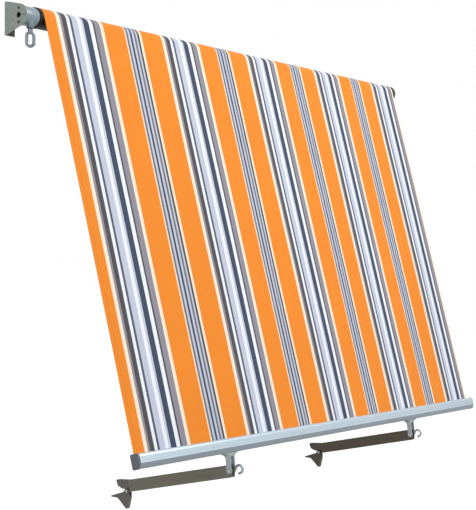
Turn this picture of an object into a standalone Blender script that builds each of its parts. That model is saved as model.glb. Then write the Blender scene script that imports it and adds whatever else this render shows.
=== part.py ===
"""Drop awning: a striped cloth on a geared roller, a front bar, and two arms that clamp to a railing.

Units are metres. +X runs along the roller from the gear side, -Y points out from the wall, +Z is up.
The origin is the middle of the left wall bracket's rear face, and the wall is the plane Y = 0.
"""

import math

import bmesh
import bpy
from mathutils import Matrix, Vector

# Fits
CLEAR = 0.0003
MESH_PLAY = 0.0004
SLIVER = 0.00003

# Cloth
CLOTH_WIDTH = 2.400
CLOTH_DROP = 1.430
CLOTH_TILT = math.radians(14.7)
CLOTH_THICK = 0.0010
TURN_THICK = 0.0005
WRAP_STEPS = 18

# Roller
TUBE_RADIUS = 0.0330
TUBE_WALL = 0.0014
TUBE_MARGIN = 0.0012
GROOVE_WIDTH = 0.0050
GROOVE_DEPTH = 0.0075
KEDER_RADIUS = 0.0022
PLUG_FLANGE_RADIUS = 0.0346
PLUG_FLANGE_WIDTH = 0.0138
PLUG_DEPTH = 0.045
PLUG_WALL = 0.0035
IDLE_PIN_RADIUS = 0.006

# Wall brackets
AXIS_OUT = 0.062
AXIS_RISE = 0.0065
PLATE_THICK = 0.003
BEND_RADIUS = 0.005
FLANGE_WIDTH = 0.048
FLANGE_HEIGHT = 0.107
EAR_RADIUS = 0.036
EAR_TOP_SLOPE = math.radians(12.0)
WALL_HOLE_RADIUS = 0.0042
WALL_HOLE_INSET = 0.019
HUB_HOLE_RADIUS = 0.0092
FRONT_HOLE_RADIUS = 0.0030
IDLE_SIDE_GAP = 0.028

# Gear drum, worm and wheel
DRUM_RADIUS = 0.0315
DRUM_WALL = 0.0021
DRUM_LENGTH = 0.0622
DRUM_END_WALL = 0.004
COVER_THICK = 0.0022
SCREW_RING = 0.0225
SCREW_RADIUS = 0.0020
SCREW_HEAD_RADIUS = 0.0040
SCREW_HEAD_HEIGHT = 0.0026
SCREW_BOSS_RADIUS = 0.0042
SCREW_LENGTH = 0.016
GEAR_SETBACK = 0.0320
GEAR_MODULE = 0.0016
WHEEL_TEETH = 16
WHEEL_FACE = 0.013
WORM_PITCH_RADIUS = 0.0052
WORM_HALF_LENGTH = 0.0135
WORM_SHAFT_RADIUS = 0.0034
WORM_TOP_JOURNAL = 0.0075
SLEEVE_RADIUS = 0.0102
SQUARE_SIDE = 0.0120
EYE_BOSS_RADIUS = 0.0105
EYE_BOSS_DROP = 0.0345
COLLAR_RADIUS = 0.0125
COLLAR_HEIGHT = 0.006

# Crank eye
EYE_NECK_RADIUS = 0.0080
EYE_NECK_HEIGHT = 0.012
EYE_WIDTH = 0.034
EYE_HEIGHT = 0.054
EYE_BAR_RADIUS = 0.0042
EYE_TURN = math.radians(-33.0)
EYE_PIN_RADIUS = 0.0015

# Front bar
BAR_OVERHANG = 0.010
BAR_HEIGHT = 0.048
BAR_DEPTH = 0.034
BAR_WALL = 0.0018
BAR_REAR = 0.008
KEDER_CHAMBER_RADIUS = 0.0042
KEDER_SLOT = 0.0026
HEM_ROD_RADIUS = 0.0032
FOOT_SLOT = 0.0090
FOOT_CHAMBER = 0.0130
FOOT_CHAMBER_HEIGHT = 0.0056
LIP = 0.0020
GROOVE_COUNT = 3
GROOVE_SPACING = 0.0060
GROOVE_SIZE = 0.0006
CAP_THICK = 0.0045
CAP_RIM = 0.0008
CAP_PEG_DEPTH = 0.014

# Connectors under the bar
CONNECTOR_INSET_LEFT = 0.495
CONNECTOR_INSET_RIGHT = 0.584
FOOT_LENGTH = 0.074
FOOT_HEIGHT = 0.0035
FORK_WIDTH = 0.0290
FORK_GAP = 0.0190
FORK_DEPTH = 0.018
FORK_FILLET = 0.018
FORK_SLOT_RISE = 0.047
PIN_DROP = 0.060
PIN_LEAN = 0.009
PIN_RADIUS = 0.0040
PIN_HEAD_RADIUS = 0.0052
PIN_HEAD_HEIGHT = 0.0022
HOOK_OUTER_RADIUS = 0.0170
HOOK_BAR_RADIUS = 0.0036
HOOK_SWEEP = math.radians(290.0)

# Arms
ARM_SLOPE = math.radians(11.0)
ARM_HEIGHT = 0.042
ARM_WIDTH = 0.018
ARM_WALL = 0.0020
ARM_FRONT = 0.008
ARM_REACH = 0.424
ARM_CORNER = 0.007

# Railing clamps
JAW_WIDTH = 0.0176
TONGUE_LENGTH = 0.045
TONGUE_HEIGHT = 0.034
TONGUE_FIT = 0.0003
CLAMP_BOLT_RADIUS = 0.0030
CLAMP_BOLT_HEAD = 0.0055
CLAMP_BOLT_ALONG = 0.0190
CLAMP_BOLT_DROP = 0.0165
CLAMP_SLOT_RADIUS = 0.0165
KNUCKLE_RADIUS = 0.0085
KNUCKLE_HALF = 0.0040
BEAK_REACH = 0.053
BEAK_RISE = 0.008
FINGER_REACH = 0.073
LEVER_DROP = 0.0635
NOTCH_DEPTH = 0.0040
RIVET_RISE = 0.004
WING_SPAN = 0.030
WING_HEIGHT = 0.014
WING_THICK = 0.0024
RIVET_RADIUS = 0.0024
RIVET_HEAD_RADIUS = 0.0045
RIVET_HEAD_HEIGHT = 0.0016

# Derived places
PLATE_OUTER_X = -FLANGE_WIDTH / 2
PLATE_INNER_X = PLATE_OUTER_X + PLATE_THICK
DRUM_START = PLATE_INNER_X + CLEAR + COVER_THICK + CLEAR
DRUM_END = DRUM_START + DRUM_LENGTH
PLUG_START = DRUM_END + CLEAR
TUBE_START = PLUG_START + PLUG_FLANGE_WIDTH + CLEAR
CLOTH_START = TUBE_START + TUBE_MARGIN
CLOTH_END = CLOTH_START + CLOTH_WIDTH
TUBE_END = CLOTH_END + TUBE_MARGIN
RIGHT_PLATE_OUTER = CLOTH_END + IDLE_SIDE_GAP
RIGHT_PLATE_INNER = RIGHT_PLATE_OUTER - PLATE_THICK
AXIS = Vector((0.0, -AXIS_OUT, AXIS_RISE))
TURNS_INNER = TUBE_RADIUS + CLEAR
ROLL_RADIUS = TURNS_INNER + TURN_THICK
SHEET_OFFSET = ROLL_RADIUS + CLEAR + CLOTH_THICK / 2
DOWN_SLANT = Vector((0.0, -math.sin(CLOTH_TILT), -math.cos(CLOTH_TILT)))
OUT_SLANT = Vector((0.0, -math.cos(CLOTH_TILT), math.sin(CLOTH_TILT)))
SHEET_TOP = AXIS + SHEET_OFFSET * OUT_SLANT
BAR_TOP = SHEET_TOP + CLOTH_DROP * DOWN_SLANT
WHEEL_PITCH_RADIUS = GEAR_MODULE * WHEEL_TEETH / 2
WORM_OUT = WHEEL_PITCH_RADIUS + WORM_PITCH_RADIUS
GEAR_X = PLATE_INNER_X + GEAR_SETBACK + CLEAR
CONNECTOR_XS = (CLOTH_START + CONNECTOR_INSET_LEFT, CLOTH_END - CONNECTOR_INSET_RIGHT)

# One repeat of the woven stripes: colour name and width
STRIPE_REPEAT = (
    ("cream", 0.0150), ("mauve_grey", 0.0120), ("dark_grey", 0.0200), ("white", 0.0155),
    ("slate", 0.0090), ("lilac", 0.0270), ("pale", 0.0165), ("lilac", 0.0110),
    ("navy", 0.0270), ("white", 0.0185), ("dark_grey", 0.0095), ("mauve_grey", 0.0270),
    ("cream", 0.0165), ("orange", 0.1060), ("cream", 0.0080), ("grey", 0.0085),
    ("white", 0.0105), ("navy", 0.0120), ("white", 0.0105), ("grey", 0.0105),
    ("white", 0.0085), ("dark_grey", 0.0100), ("cream", 0.0120), ("orange", 0.1140),
)
FIRST_STRIPE = 0.052

# Colours as linear values, roughness and metallic
LOOKS = {
    "bracket_paint": ((0.240, 0.285, 0.260), 0.45, 0.0),
    "drum_paint": ((0.350, 0.450, 0.520), 0.40, 0.0),
    "zinc": ((0.300, 0.350, 0.400), 0.40, 0.6),
    "steel": ((0.450, 0.460, 0.470), 0.35, 1.0),
    "galvanised": ((0.500, 0.510, 0.520), 0.45, 0.8),
    "brass": ((0.600, 0.420, 0.160), 0.35, 1.0),
    "black_plastic": ((0.015, 0.015, 0.017), 0.50, 0.0),
    "white_plastic": ((0.700, 0.700, 0.680), 0.50, 0.0),
    "grey_plastic": ((0.160, 0.190, 0.215), 0.45, 0.0),
    "bar_aluminium": ((0.480, 0.620, 0.730), 0.35, 0.2),
    "arm_bronze": ((0.140, 0.130, 0.105), 0.50, 0.2),
    "clamp_casting": ((0.110, 0.110, 0.095), 0.55, 0.2),
    "orange": ((0.940, 0.296, 0.032), 0.85, 0.0),
    "cream": ((0.955, 0.871, 0.753), 0.85, 0.0),
    "white": ((0.871, 0.913, 0.973), 0.85, 0.0),
    "mauve_grey": ((0.275, 0.262, 0.314), 0.85, 0.0),
    "dark_grey": ((0.098, 0.089, 0.102), 0.85, 0.0),
    "navy": ((0.058, 0.080, 0.133), 0.85, 0.0),
    "slate": ((0.114, 0.127, 0.188), 0.85, 0.0),
    "lilac": ((0.565, 0.597, 0.737), 0.85, 0.0),
    "pale": ((0.855, 0.896, 0.965), 0.85, 0.0),
    "grey": ((0.223, 0.223, 0.235), 0.85, 0.0),
}


# Views that turn an outline (u, v) and its depth into X, Y, Z
SIDE_VIEW = Matrix(((0, 0, 1, 0), (1, 0, 0, 0), (0, 1, 0, 0), (0, 0, 0, 1)))
FRONT_VIEW = Matrix(((1, 0, 0, 0), (0, 0, 1, 0), (0, 1, 0, 0), (0, 0, 0, 1)))
TOP_VIEW = Matrix.Identity(4)


def clear_scene():
    """Remove whatever the file holds."""
    for item in list(bpy.data.objects):
        bpy.data.objects.remove(item, do_unlink=True)


def look(name):
    """The named Principled material, made once."""
    found = bpy.data.materials.get(name)
    if found:
        return found
    colour, roughness, metallic = LOOKS[name]
    made = bpy.data.materials.new(name)
    made.use_nodes = True
    shader = made.node_tree.nodes["Principled BSDF"]
    shader.inputs["Base Color"].default_value = (*colour, 1.0)
    shader.inputs["Roughness"].default_value = roughness
    shader.inputs["Metallic"].default_value = metallic
    made.diffuse_color = (*colour, 1.0)
    return made


def empty(name, matrix, parent=None):
    """An empty that carries the pieces of one moving body."""
    made = bpy.data.objects.new(name, None)
    bpy.context.scene.collection.objects.link(made)
    made.parent = parent
    made.matrix_local = matrix
    return made


def piece(name, bm, look_name, parent=None, matrix=TOP_VIEW):
    """One named object from a bmesh, with its faces pointing out and its round sides smooth."""
    bmesh.ops.remove_doubles(bm, verts=bm.verts[:], dist=1e-6)
    bmesh.ops.dissolve_degenerate(bm, edges=bm.edges[:], dist=1e-6)
    bmesh.ops.recalc_face_normals(bm, faces=bm.faces[:])
    if bm.calc_volume(signed=True) < 0.0:
        bmesh.ops.reverse_faces(bm, faces=bm.faces[:])
    mesh = bpy.data.meshes.new(name)
    bm.to_mesh(mesh)
    bm.free()
    if look_name:
        mesh.materials.append(look(look_name))
    mesh.shade_smooth()
    mesh.set_sharp_from_angle(angle=math.radians(30.0))
    made = bpy.data.objects.new(name, mesh)
    bpy.context.scene.collection.objects.link(made)
    made.parent = parent
    made.matrix_local = matrix
    return made


def helper(name, bm, parent=None, matrix=TOP_VIEW):
    """A cutter or an added lump that only a Boolean reads."""
    made = piece(name, bm, None, parent, matrix)
    made.hide_render = True
    made.display_type = "WIRE"
    return made


def weld_slivers():
    """Close the slivers that Booleans leave, on every piece that has them."""
    for item in bpy.data.objects:
        if item.type == "MESH" and item.modifiers and not item.hide_render:
            weld = item.modifiers.new("weld", "WELD")
            weld.merge_threshold = SLIVER


def combine(target, operation, *others):
    """Boolean modifiers on the target, one for each of the others, in order."""
    for other in others:
        step = target.modifiers.new(other.name, "BOOLEAN")
        step.operation = operation
        step.solver = "EXACT"
        step.object = other
    return target


def rounded(corners, steps=4):
    """An outline whose corners (u, v, radius) are arcs tangent to both of their sides."""
    outline = []
    count = len(corners)
    for index, (u, v, radius) in enumerate(corners):
        corner = Vector((u, v))
        back = (Vector(corners[index - 1][:2]) - corner).normalized()
        ahead = (Vector(corners[(index + 1) % count][:2]) - corner).normalized()
        if radius <= 0.0:
            outline.append((u, v))
            continue
        half_angle = back.angle(ahead) / 2
        centre = corner + (back + ahead).normalized() * (radius / math.sin(half_angle))
        run = radius / math.tan(half_angle)
        first = corner + back * run - centre
        last = corner + ahead * run - centre
        turn = first.angle_signed(last)
        for step in range(steps + 1):
            point = centre + Matrix.Rotation(-turn * step / steps, 2) @ first
            outline.append((point.x, point.y))
    return outline


def arc(centre, radius, start, end, steps):
    """Points along an arc, both ends included."""
    return [
        (centre[0] + radius * math.cos(start + (end - start) * step / steps),
         centre[1] + radius * math.sin(start + (end - start) * step / steps))
        for step in range(steps + 1)
    ]


def circle(centre, radius, steps=32):
    """Points round a full circle."""
    return arc(centre, radius, 0.0, 2 * math.pi, steps)[:-1]


def prism(loops, start, end, view):
    """A bmesh of an outline and its holes, extruded from start to end along the view's depth."""
    bm = bmesh.new()
    for loop in loops:
        ring = [bm.verts.new((u, v, start)) for u, v in loop]
        for index, vert in enumerate(ring):
            bm.edges.new((vert, ring[(index + 1) % len(ring)]))
    bmesh.ops.triangle_fill(bm, edges=bm.edges[:], use_beauty=True)
    raised = bmesh.ops.extrude_face_region(bm, geom=bm.faces[:])["geom"]
    moved = [item for item in raised if isinstance(item, bmesh.types.BMVert)]
    bmesh.ops.translate(bm, verts=moved, vec=(0.0, 0.0, end - start))
    bmesh.ops.transform(bm, matrix=view, verts=bm.verts[:])
    return bm


def turned(profile, centre, axis, closed=False, steps=36):
    """A bmesh turned from a profile (radius, height) about an axis through the centre."""
    bm = bmesh.new()
    verts = [bm.verts.new((radius, 0.0, height)) for radius, height in profile]
    edges = [bm.edges.new(pair) for pair in zip(verts, verts[1:])]
    if closed:
        edges.append(bm.edges.new((verts[-1], verts[0])))
    bmesh.ops.spin(bm, geom=verts + edges, cent=(0, 0, 0), axis=(0, 0, 1),
                   angle=2 * math.pi, steps=steps, use_merge=True)
    bmesh.ops.remove_doubles(bm, verts=bm.verts[:], dist=1e-6)
    turn = Vector((0, 0, 1)).rotation_difference(Vector(axis)).to_matrix().to_4x4()
    bmesh.ops.transform(bm, matrix=Matrix.Translation(centre) @ turn, verts=bm.verts[:])
    return bm


def rod(centre, axis, radius, start, end, steps=28, chamfer=0.0):
    """A round bar from start to end along an axis through the centre."""
    profile = [(0.0, start), (radius - chamfer, start), (radius, start + chamfer),
               (radius, end - chamfer), (radius - chamfer, end), (0.0, end)]
    if chamfer == 0.0:
        profile = [(0.0, start), (radius, start), (radius, end), (0.0, end)]
    return turned(profile, centre, axis, steps=steps)


def swept(path, normal, radius, sides=12, closed=False):
    """A round bar bent along a flat path whose plane has the given normal."""
    bm = bmesh.new()
    normal = Vector(normal).normalized()
    rings = []
    count = len(path)
    for index, point in enumerate(path):
        before = path[index - 1] if closed or index > 0 else point
        after = path[(index + 1) % count] if closed or index < count - 1 else point
        across = (after - before).normalized().cross(normal)
        ring = []
        for side in range(sides):
            angle = 2 * math.pi * side / sides
            outward = math.cos(angle) * normal + math.sin(angle) * across
            ring.append(bm.verts.new(point + radius * outward))
        rings.append(ring)
    pairs = list(zip(rings, rings[1:]))
    if closed:
        pairs.append((rings[-1], rings[0]))
    for ring, following in pairs:
        for side in range(sides):
            ahead = (side + 1) % sides
            bm.faces.new((ring[side], ring[ahead], following[ahead], following[side]))
    if not closed:
        bm.faces.new(rings[0])
        bm.faces.new(rings[-1])
    return bm


def box(low, high):
    """A bmesh of a box between two corners."""
    return prism([[(low[0], low[1]), (high[0], low[1]), (high[0], high[1]), (low[0], high[1])]],
                 low[2], high[2], TOP_VIEW)


def mirrored(bm, plane_x):
    """The bmesh mirrored across a plane X = plane_x."""
    flip = Matrix.Translation((2 * plane_x, 0, 0)) @ Matrix.Scale(-1.0, 4, (1, 0, 0))
    bmesh.ops.transform(bm, matrix=flip, verts=bm.verts[:])
    return bm


# Wall brackets

def ear_outline():
    """Side outline of a bracket: full height at the wall, running out to a round ear at the roller."""
    half = FLANGE_HEIGHT / 2
    centre = Vector((AXIS.y, AXIS.z))
    top_angle = math.pi / 2 + EAR_TOP_SLOPE
    top = centre + EAR_RADIUS * Vector((math.cos(top_angle), math.sin(top_angle)))
    high = half + PLATE_THICK
    shoulder_y = top.x + (high - top.y) / math.tan(EAR_TOP_SLOPE)
    foot = Vector((-1.5 * PLATE_THICK, -half))
    reach = foot - centre
    low_angle = math.atan2(reach.y, reach.x) - math.acos(EAR_RADIUS / reach.length)
    ear = arc(centre, EAR_RADIUS, top_angle, low_angle + 2 * math.pi, 20)
    below = [tuple(foot), (foot.x, -high), (PLATE_THICK, -high)]
    return [(PLATE_THICK, high), (shoulder_y, high)] + ear + below


def wall_bracket(name, mirror_x):
    """A pressed steel bracket: wall flange, bend and side plate, with its holes."""
    reach = AXIS_OUT + EAR_RADIUS + PLATE_THICK
    half = FLANGE_HEIGHT / 2
    sheet = rounded([
        (FLANGE_WIDTH / 2, 0.0, 0.0), (PLATE_OUTER_X, 0.0, BEND_RADIUS), (PLATE_OUTER_X, -reach, 0.0),
        (PLATE_INNER_X, -reach, 0.0), (PLATE_INNER_X, -PLATE_THICK, BEND_RADIUS - PLATE_THICK),
        (FLANGE_WIDTH / 2, -PLATE_THICK, 0.0)])
    bodies = [prism([sheet], -half, half, TOP_VIEW)]
    bodies.append(prism([ear_outline()], -FLANGE_WIDTH, FLANGE_WIDTH, SIDE_VIEW))
    cuts = [rod(AXIS, (1, 0, 0), HUB_HOLE_RADIUS, PLATE_OUTER_X - PLATE_THICK, PLATE_INNER_X + PLATE_THICK)]
    for side in (-1, 1):
        place = AXIS + Vector((0, 0, side * SCREW_RING))
        cuts.append(rod(place, (1, 0, 0), SCREW_RADIUS + CLEAR, PLATE_OUTER_X - PLATE_THICK,
                        PLATE_INNER_X + PLATE_THICK, steps=16))
        wall_hole = Vector((BEND_RADIUS, 0, side * (half - WALL_HOLE_INSET)))
        cuts.append(rod(wall_hole, (0, 1, 0), WALL_HOLE_RADIUS, -2 * PLATE_THICK, PLATE_THICK, steps=20))
    front = AXIS - Vector((0, SCREW_RING, 0))
    cuts.append(rod(front, (1, 0, 0), FRONT_HOLE_RADIUS, PLATE_OUTER_X - PLATE_THICK,
                    PLATE_INNER_X + PLATE_THICK, steps=16))
    if mirror_x is not None:
        for bm in bodies + cuts:
            mirrored(bm, mirror_x)
    bracket = piece(name, bodies[0], "bracket_paint")
    combine(bracket, "INTERSECT", helper(f"{name}_outline", bodies[1]))
    holes = [helper(f"{name}_hole_{index}", bm) for index, bm in enumerate(cuts)]
    return combine(bracket, "DIFFERENCE", *holes)


# Gear drum

WORM_AXIS = Vector((GEAR_X, AXIS.y - WORM_OUT, AXIS.z))
WORM_OUTER = WORM_PITCH_RADIUS + 0.8 * GEAR_MODULE
WORM_ROOT = WORM_PITCH_RADIUS - 1.0 * GEAR_MODULE
WHEEL_OUTER = WHEEL_PITCH_RADIUS + 0.8 * GEAR_MODULE
WHEEL_ROOT = WHEEL_PITCH_RADIUS - 1.0 * GEAR_MODULE
PRESSURE_ANGLE = math.radians(20.0)
WORM_LEAD = math.pi * GEAR_MODULE
BOSS_TOP = WORM_HALF_LENGTH + CLEAR
JOURNAL_TOP = BOSS_TOP + WORM_TOP_JOURNAL


def screw_places():
    """Where the two gear screws run, above and below the roller axis."""
    return [AXIS + Vector((0, 0, side * SCREW_RING)) for side in (-1, 1)]


def gear_housing():
    """The drum: a turned cup with screw bosses and the two bearings of the upright worm."""
    inner = DRUM_RADIUS - DRUM_WALL
    bore = SLEEVE_RADIUS + CLEAR
    floor = DRUM_END - DRUM_END_WALL
    soft_edge = DRUM_WALL / 2
    cup = [(inner, DRUM_START), (DRUM_RADIUS, DRUM_START), (DRUM_RADIUS, DRUM_END - soft_edge),
           (DRUM_RADIUS - soft_edge, DRUM_END), (bore, DRUM_END), (bore, floor), (inner, floor)]
    drum = piece("gear_housing", turned(cup, (0, AXIS.y, AXIS.z), (1, 0, 0), closed=True, steps=40),
                 "drum_paint")
    wall_middle = DRUM_RADIUS - DRUM_WALL / 2
    envelope = helper("drum_envelope", rod((0, AXIS.y, AXIS.z), (1, 0, 0), wall_middle,
                                           DRUM_START, floor + DRUM_END_WALL / 2, steps=40))
    top_boss = helper("worm_top_boss", rod(WORM_AXIS, (0, 0, 1), EYE_BOSS_RADIUS - DRUM_WALL / 2,
                                           BOSS_TOP, DRUM_RADIUS))
    combine(top_boss, "INTERSECT", envelope)
    low_boss = helper("worm_low_boss", rod(WORM_AXIS, (0, 0, 1), EYE_BOSS_RADIUS - DRUM_WALL / 2,
                                           -EYE_BOSS_DROP, -BOSS_TOP))
    bosses = [top_boss, low_boss]
    holes = []
    for index, place in enumerate(screw_places()):
        across = Vector((0, place.y, place.z))
        bosses.append(helper(f"screw_boss_{index}", rod(across, (1, 0, 0), SCREW_BOSS_RADIUS,
                                                        DRUM_START, floor + DRUM_END_WALL / 2, steps=12)))
        holes.append(helper(f"screw_pilot_{index}", rod(across, (1, 0, 0), SCREW_RADIUS + CLEAR,
                                                        DRUM_START - DRUM_WALL,
                                                        DRUM_START + SCREW_LENGTH, steps=16)))
    combine(drum, "UNION", *bosses)
    holes.append(helper("worm_journal_bore", rod(WORM_AXIS, (0, 0, 1), WORM_SHAFT_RADIUS + CLEAR,
                                                 -2 * EYE_BOSS_DROP, JOURNAL_TOP + CLEAR, steps=24)))
    return combine(drum, "DIFFERENCE", *holes)


def gear_cover():
    """The flat cover between the drum and the bracket's side plate."""
    low = PLATE_INNER_X + CLEAR
    high = low + COVER_THICK
    bore = SLEEVE_RADIUS + CLEAR
    ring = [(bore, low), (DRUM_RADIUS, low), (DRUM_RADIUS, high), (bore, high)]
    cover = piece("gear_cover", turned(ring, (0, AXIS.y, AXIS.z), (1, 0, 0), closed=True), "drum_paint")
    for index, place in enumerate(screw_places()):
        hole = rod((0, place.y, place.z), (1, 0, 0), SCREW_RADIUS + CLEAR, low - COVER_THICK,
                   high + COVER_THICK, steps=16)
        combine(cover, "DIFFERENCE", helper(f"cover_hole_{index}", hole))
    return cover


def gear_screws():
    """Two pan head screws through the side plate and the cover into the drum."""
    names = ("gear_screw_lower", "gear_screw_upper")
    seat = PLATE_OUTER_X - CLEAR
    tip = DRUM_START + SCREW_LENGTH - CLEAR
    for name, place in zip(names, screw_places()):
        profile = [(0.0, seat - SCREW_HEAD_HEIGHT), (SCREW_HEAD_RADIUS * 0.75, seat - SCREW_HEAD_HEIGHT),
                   (SCREW_HEAD_RADIUS, seat - SCREW_HEAD_HEIGHT / 2), (SCREW_HEAD_RADIUS, seat),
                   (SCREW_RADIUS, seat), (SCREW_RADIUS, tip), (0.0, tip)]
        piece(name, turned(profile, (0, place.y, place.z), (1, 0, 0), steps=12), "steel")


def involute(angle):
    """The involute function."""
    return math.tan(angle) - angle


def wheel_outline(turn):
    """Outline (Y, Z) of the wheel about its own axis, with a tooth gap turned off the -Y side by turn."""
    base = WHEEL_PITCH_RADIUS * math.cos(PRESSURE_ANGLE)
    pitch_half = (math.pi * GEAR_MODULE / 2 - MESH_PLAY) / 2 / WHEEL_PITCH_RADIUS
    radii = (WHEEL_ROOT, base, WHEEL_PITCH_RADIUS, WHEEL_OUTER)
    outline = []
    for tooth in range(WHEEL_TEETH):
        middle = math.pi + turn + 2 * math.pi * (tooth + 0.5) / WHEEL_TEETH
        flank = []
        for radius in radii:
            rolled = involute(math.acos(min(1.0, base / radius)))
            flank.append((radius, pitch_half + involute(PRESSURE_ANGLE) - rolled))
        for radius, half in flank:
            outline.append((radius * math.cos(middle - half), radius * math.sin(middle - half)))
        for radius, half in reversed(flank):
            outline.append((radius * math.cos(middle + half), radius * math.sin(middle + half)))
    return outline


def worm_wheel(parent):
    """The helical wheel and its sleeve, with a square hole for the drive shaft."""
    slices = 4
    lean = WORM_LEAD / (2 * math.pi * WORM_PITCH_RADIUS) / WHEEL_PITCH_RADIUS
    bm = bmesh.new()
    rings = []
    for index in range(slices):
        offset = WHEEL_FACE * (index / (slices - 1) - 0.5)
        outline = wheel_outline(offset * lean)
        rings.append([bm.verts.new((GEAR_X + offset, y, z)) for y, z in outline])
    for ring, following in zip(rings, rings[1:]):
        for index in range(len(ring)):
            ahead = (index + 1) % len(ring)
            bm.faces.new((ring[index], ring[ahead], following[ahead], following[index]))
    bm.faces.new(rings[0])
    bm.faces.new(rings[-1])
    wheel = piece("worm_wheel", bm, "brass", parent)
    sleeve = helper("wheel_sleeve", rod((0, 0, 0), (1, 0, 0), SLEEVE_RADIUS, PLATE_INNER_X + CLEAR,
                                        DRUM_END - CLEAR), parent)
    half = SQUARE_SIDE / 2 + CLEAR
    square = [(-half, -half), (half, -half), (half, half), (-half, half)]
    hole = helper("wheel_square", prism([square], PLATE_OUTER_X, TUBE_START, SIDE_VIEW), parent)
    combine(wheel, "UNION", sleeve)
    return combine(wheel, "DIFFERENCE", hole)


def drive_shaft(parent):
    """The square shaft that carries the turn from the wheel into the roller's plug."""
    half = SQUARE_SIDE / 2
    edge = half / 5
    square = rounded([(-half, -half, edge), (half, -half, edge), (half, half, edge), (-half, half, edge)], 2)
    start = GEAR_X - WHEEL_FACE / 2
    end = PLUG_START + PLUG_DEPTH - PLUG_WALL
    return piece("drive_shaft", prism([square], start, end, SIDE_VIEW), "steel", parent)


def worm(parent):
    """The upright worm: a right-hand thread on a shaft, from its top journal down into the eye's neck."""
    play = MESH_PLAY / 2
    slope = math.tan(PRESSURE_ANGLE)
    half_pitch = WORM_LEAD / 4 - play
    half_tip = half_pitch - (WORM_OUTER - WORM_PITCH_RADIUS) * slope
    half_root = half_pitch + (WORM_PITCH_RADIUS - WORM_ROOT) * slope
    marks = [(-half_root, WORM_ROOT), (-half_tip, WORM_OUTER),
             (half_tip, WORM_OUTER), (half_root, WORM_ROOT)]
    columns = 20
    turns = int(2 * WORM_HALF_LENGTH / WORM_LEAD) + 4
    facing_wheel = 0.25
    low = -(turns // 2) * WORM_LEAD - facing_wheel * WORM_LEAD
    bm = bmesh.new()
    grid = []
    for column in range(columns):
        angle = 2 * math.pi * column / columns
        levels = []
        for turn in range(turns):
            for mark, radius in marks:
                height = low + WORM_LEAD * (turn + column / columns) + mark
                levels.append(bm.verts.new((radius * math.cos(angle), radius * math.sin(angle), height)))
        grid.append(levels)
    per_turn = len(marks)
    last = per_turn * (turns - 1)
    for column in range(columns):
        wraps = column == columns - 1
        ahead = grid[0] if wraps else grid[column + 1]
        shift = per_turn if wraps else 0
        for level in range(last - 1):
            bm.faces.new((grid[column][level], ahead[level + shift],
                          ahead[level + shift + 1], grid[column][level + 1]))
    loose = [vert for vert in bm.verts if not vert.link_faces]
    bmesh.ops.delete(bm, geom=loose, context="VERTS")
    ends = [edge for edge in bm.edges if edge.is_boundary]
    bmesh.ops.holes_fill(bm, edges=ends, sides=0)
    thread = piece("worm", bm, "steel", parent)
    clip = helper("worm_clip", rod((0, 0, 0), (0, 0, 1), 2 * WORM_OUTER, -WORM_HALF_LENGTH,
                                   WORM_HALF_LENGTH), parent)
    bottom = -(EYE_BOSS_DROP + COLLAR_HEIGHT + EYE_NECK_HEIGHT * 0.7)
    shaft = helper("worm_shaft", rod((0, 0, 0), (0, 0, 1), WORM_SHAFT_RADIUS, bottom, JOURNAL_TOP,
                                     steps=24), parent)
    combine(thread, "INTERSECT", clip)
    combine(thread, "UNION", shaft)
    pin_hole = rod((0, 0, EYE_PIN_HEIGHT), EYE_ACROSS, EYE_PIN_RADIUS + CLEAR, -EYE_NECK_RADIUS,
                   EYE_NECK_RADIUS, steps=16)
    return combine(thread, "DIFFERENCE", helper("worm_pin_hole", pin_hole, parent))


# Crank eye

EYE_TOP = -(EYE_BOSS_DROP + COLLAR_HEIGHT + 2 * CLEAR)
EYE_PIN_HEIGHT = EYE_TOP - EYE_NECK_HEIGHT * 0.35
EYE_ACROSS = (math.cos(EYE_TURN), math.sin(EYE_TURN), 0.0)


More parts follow.
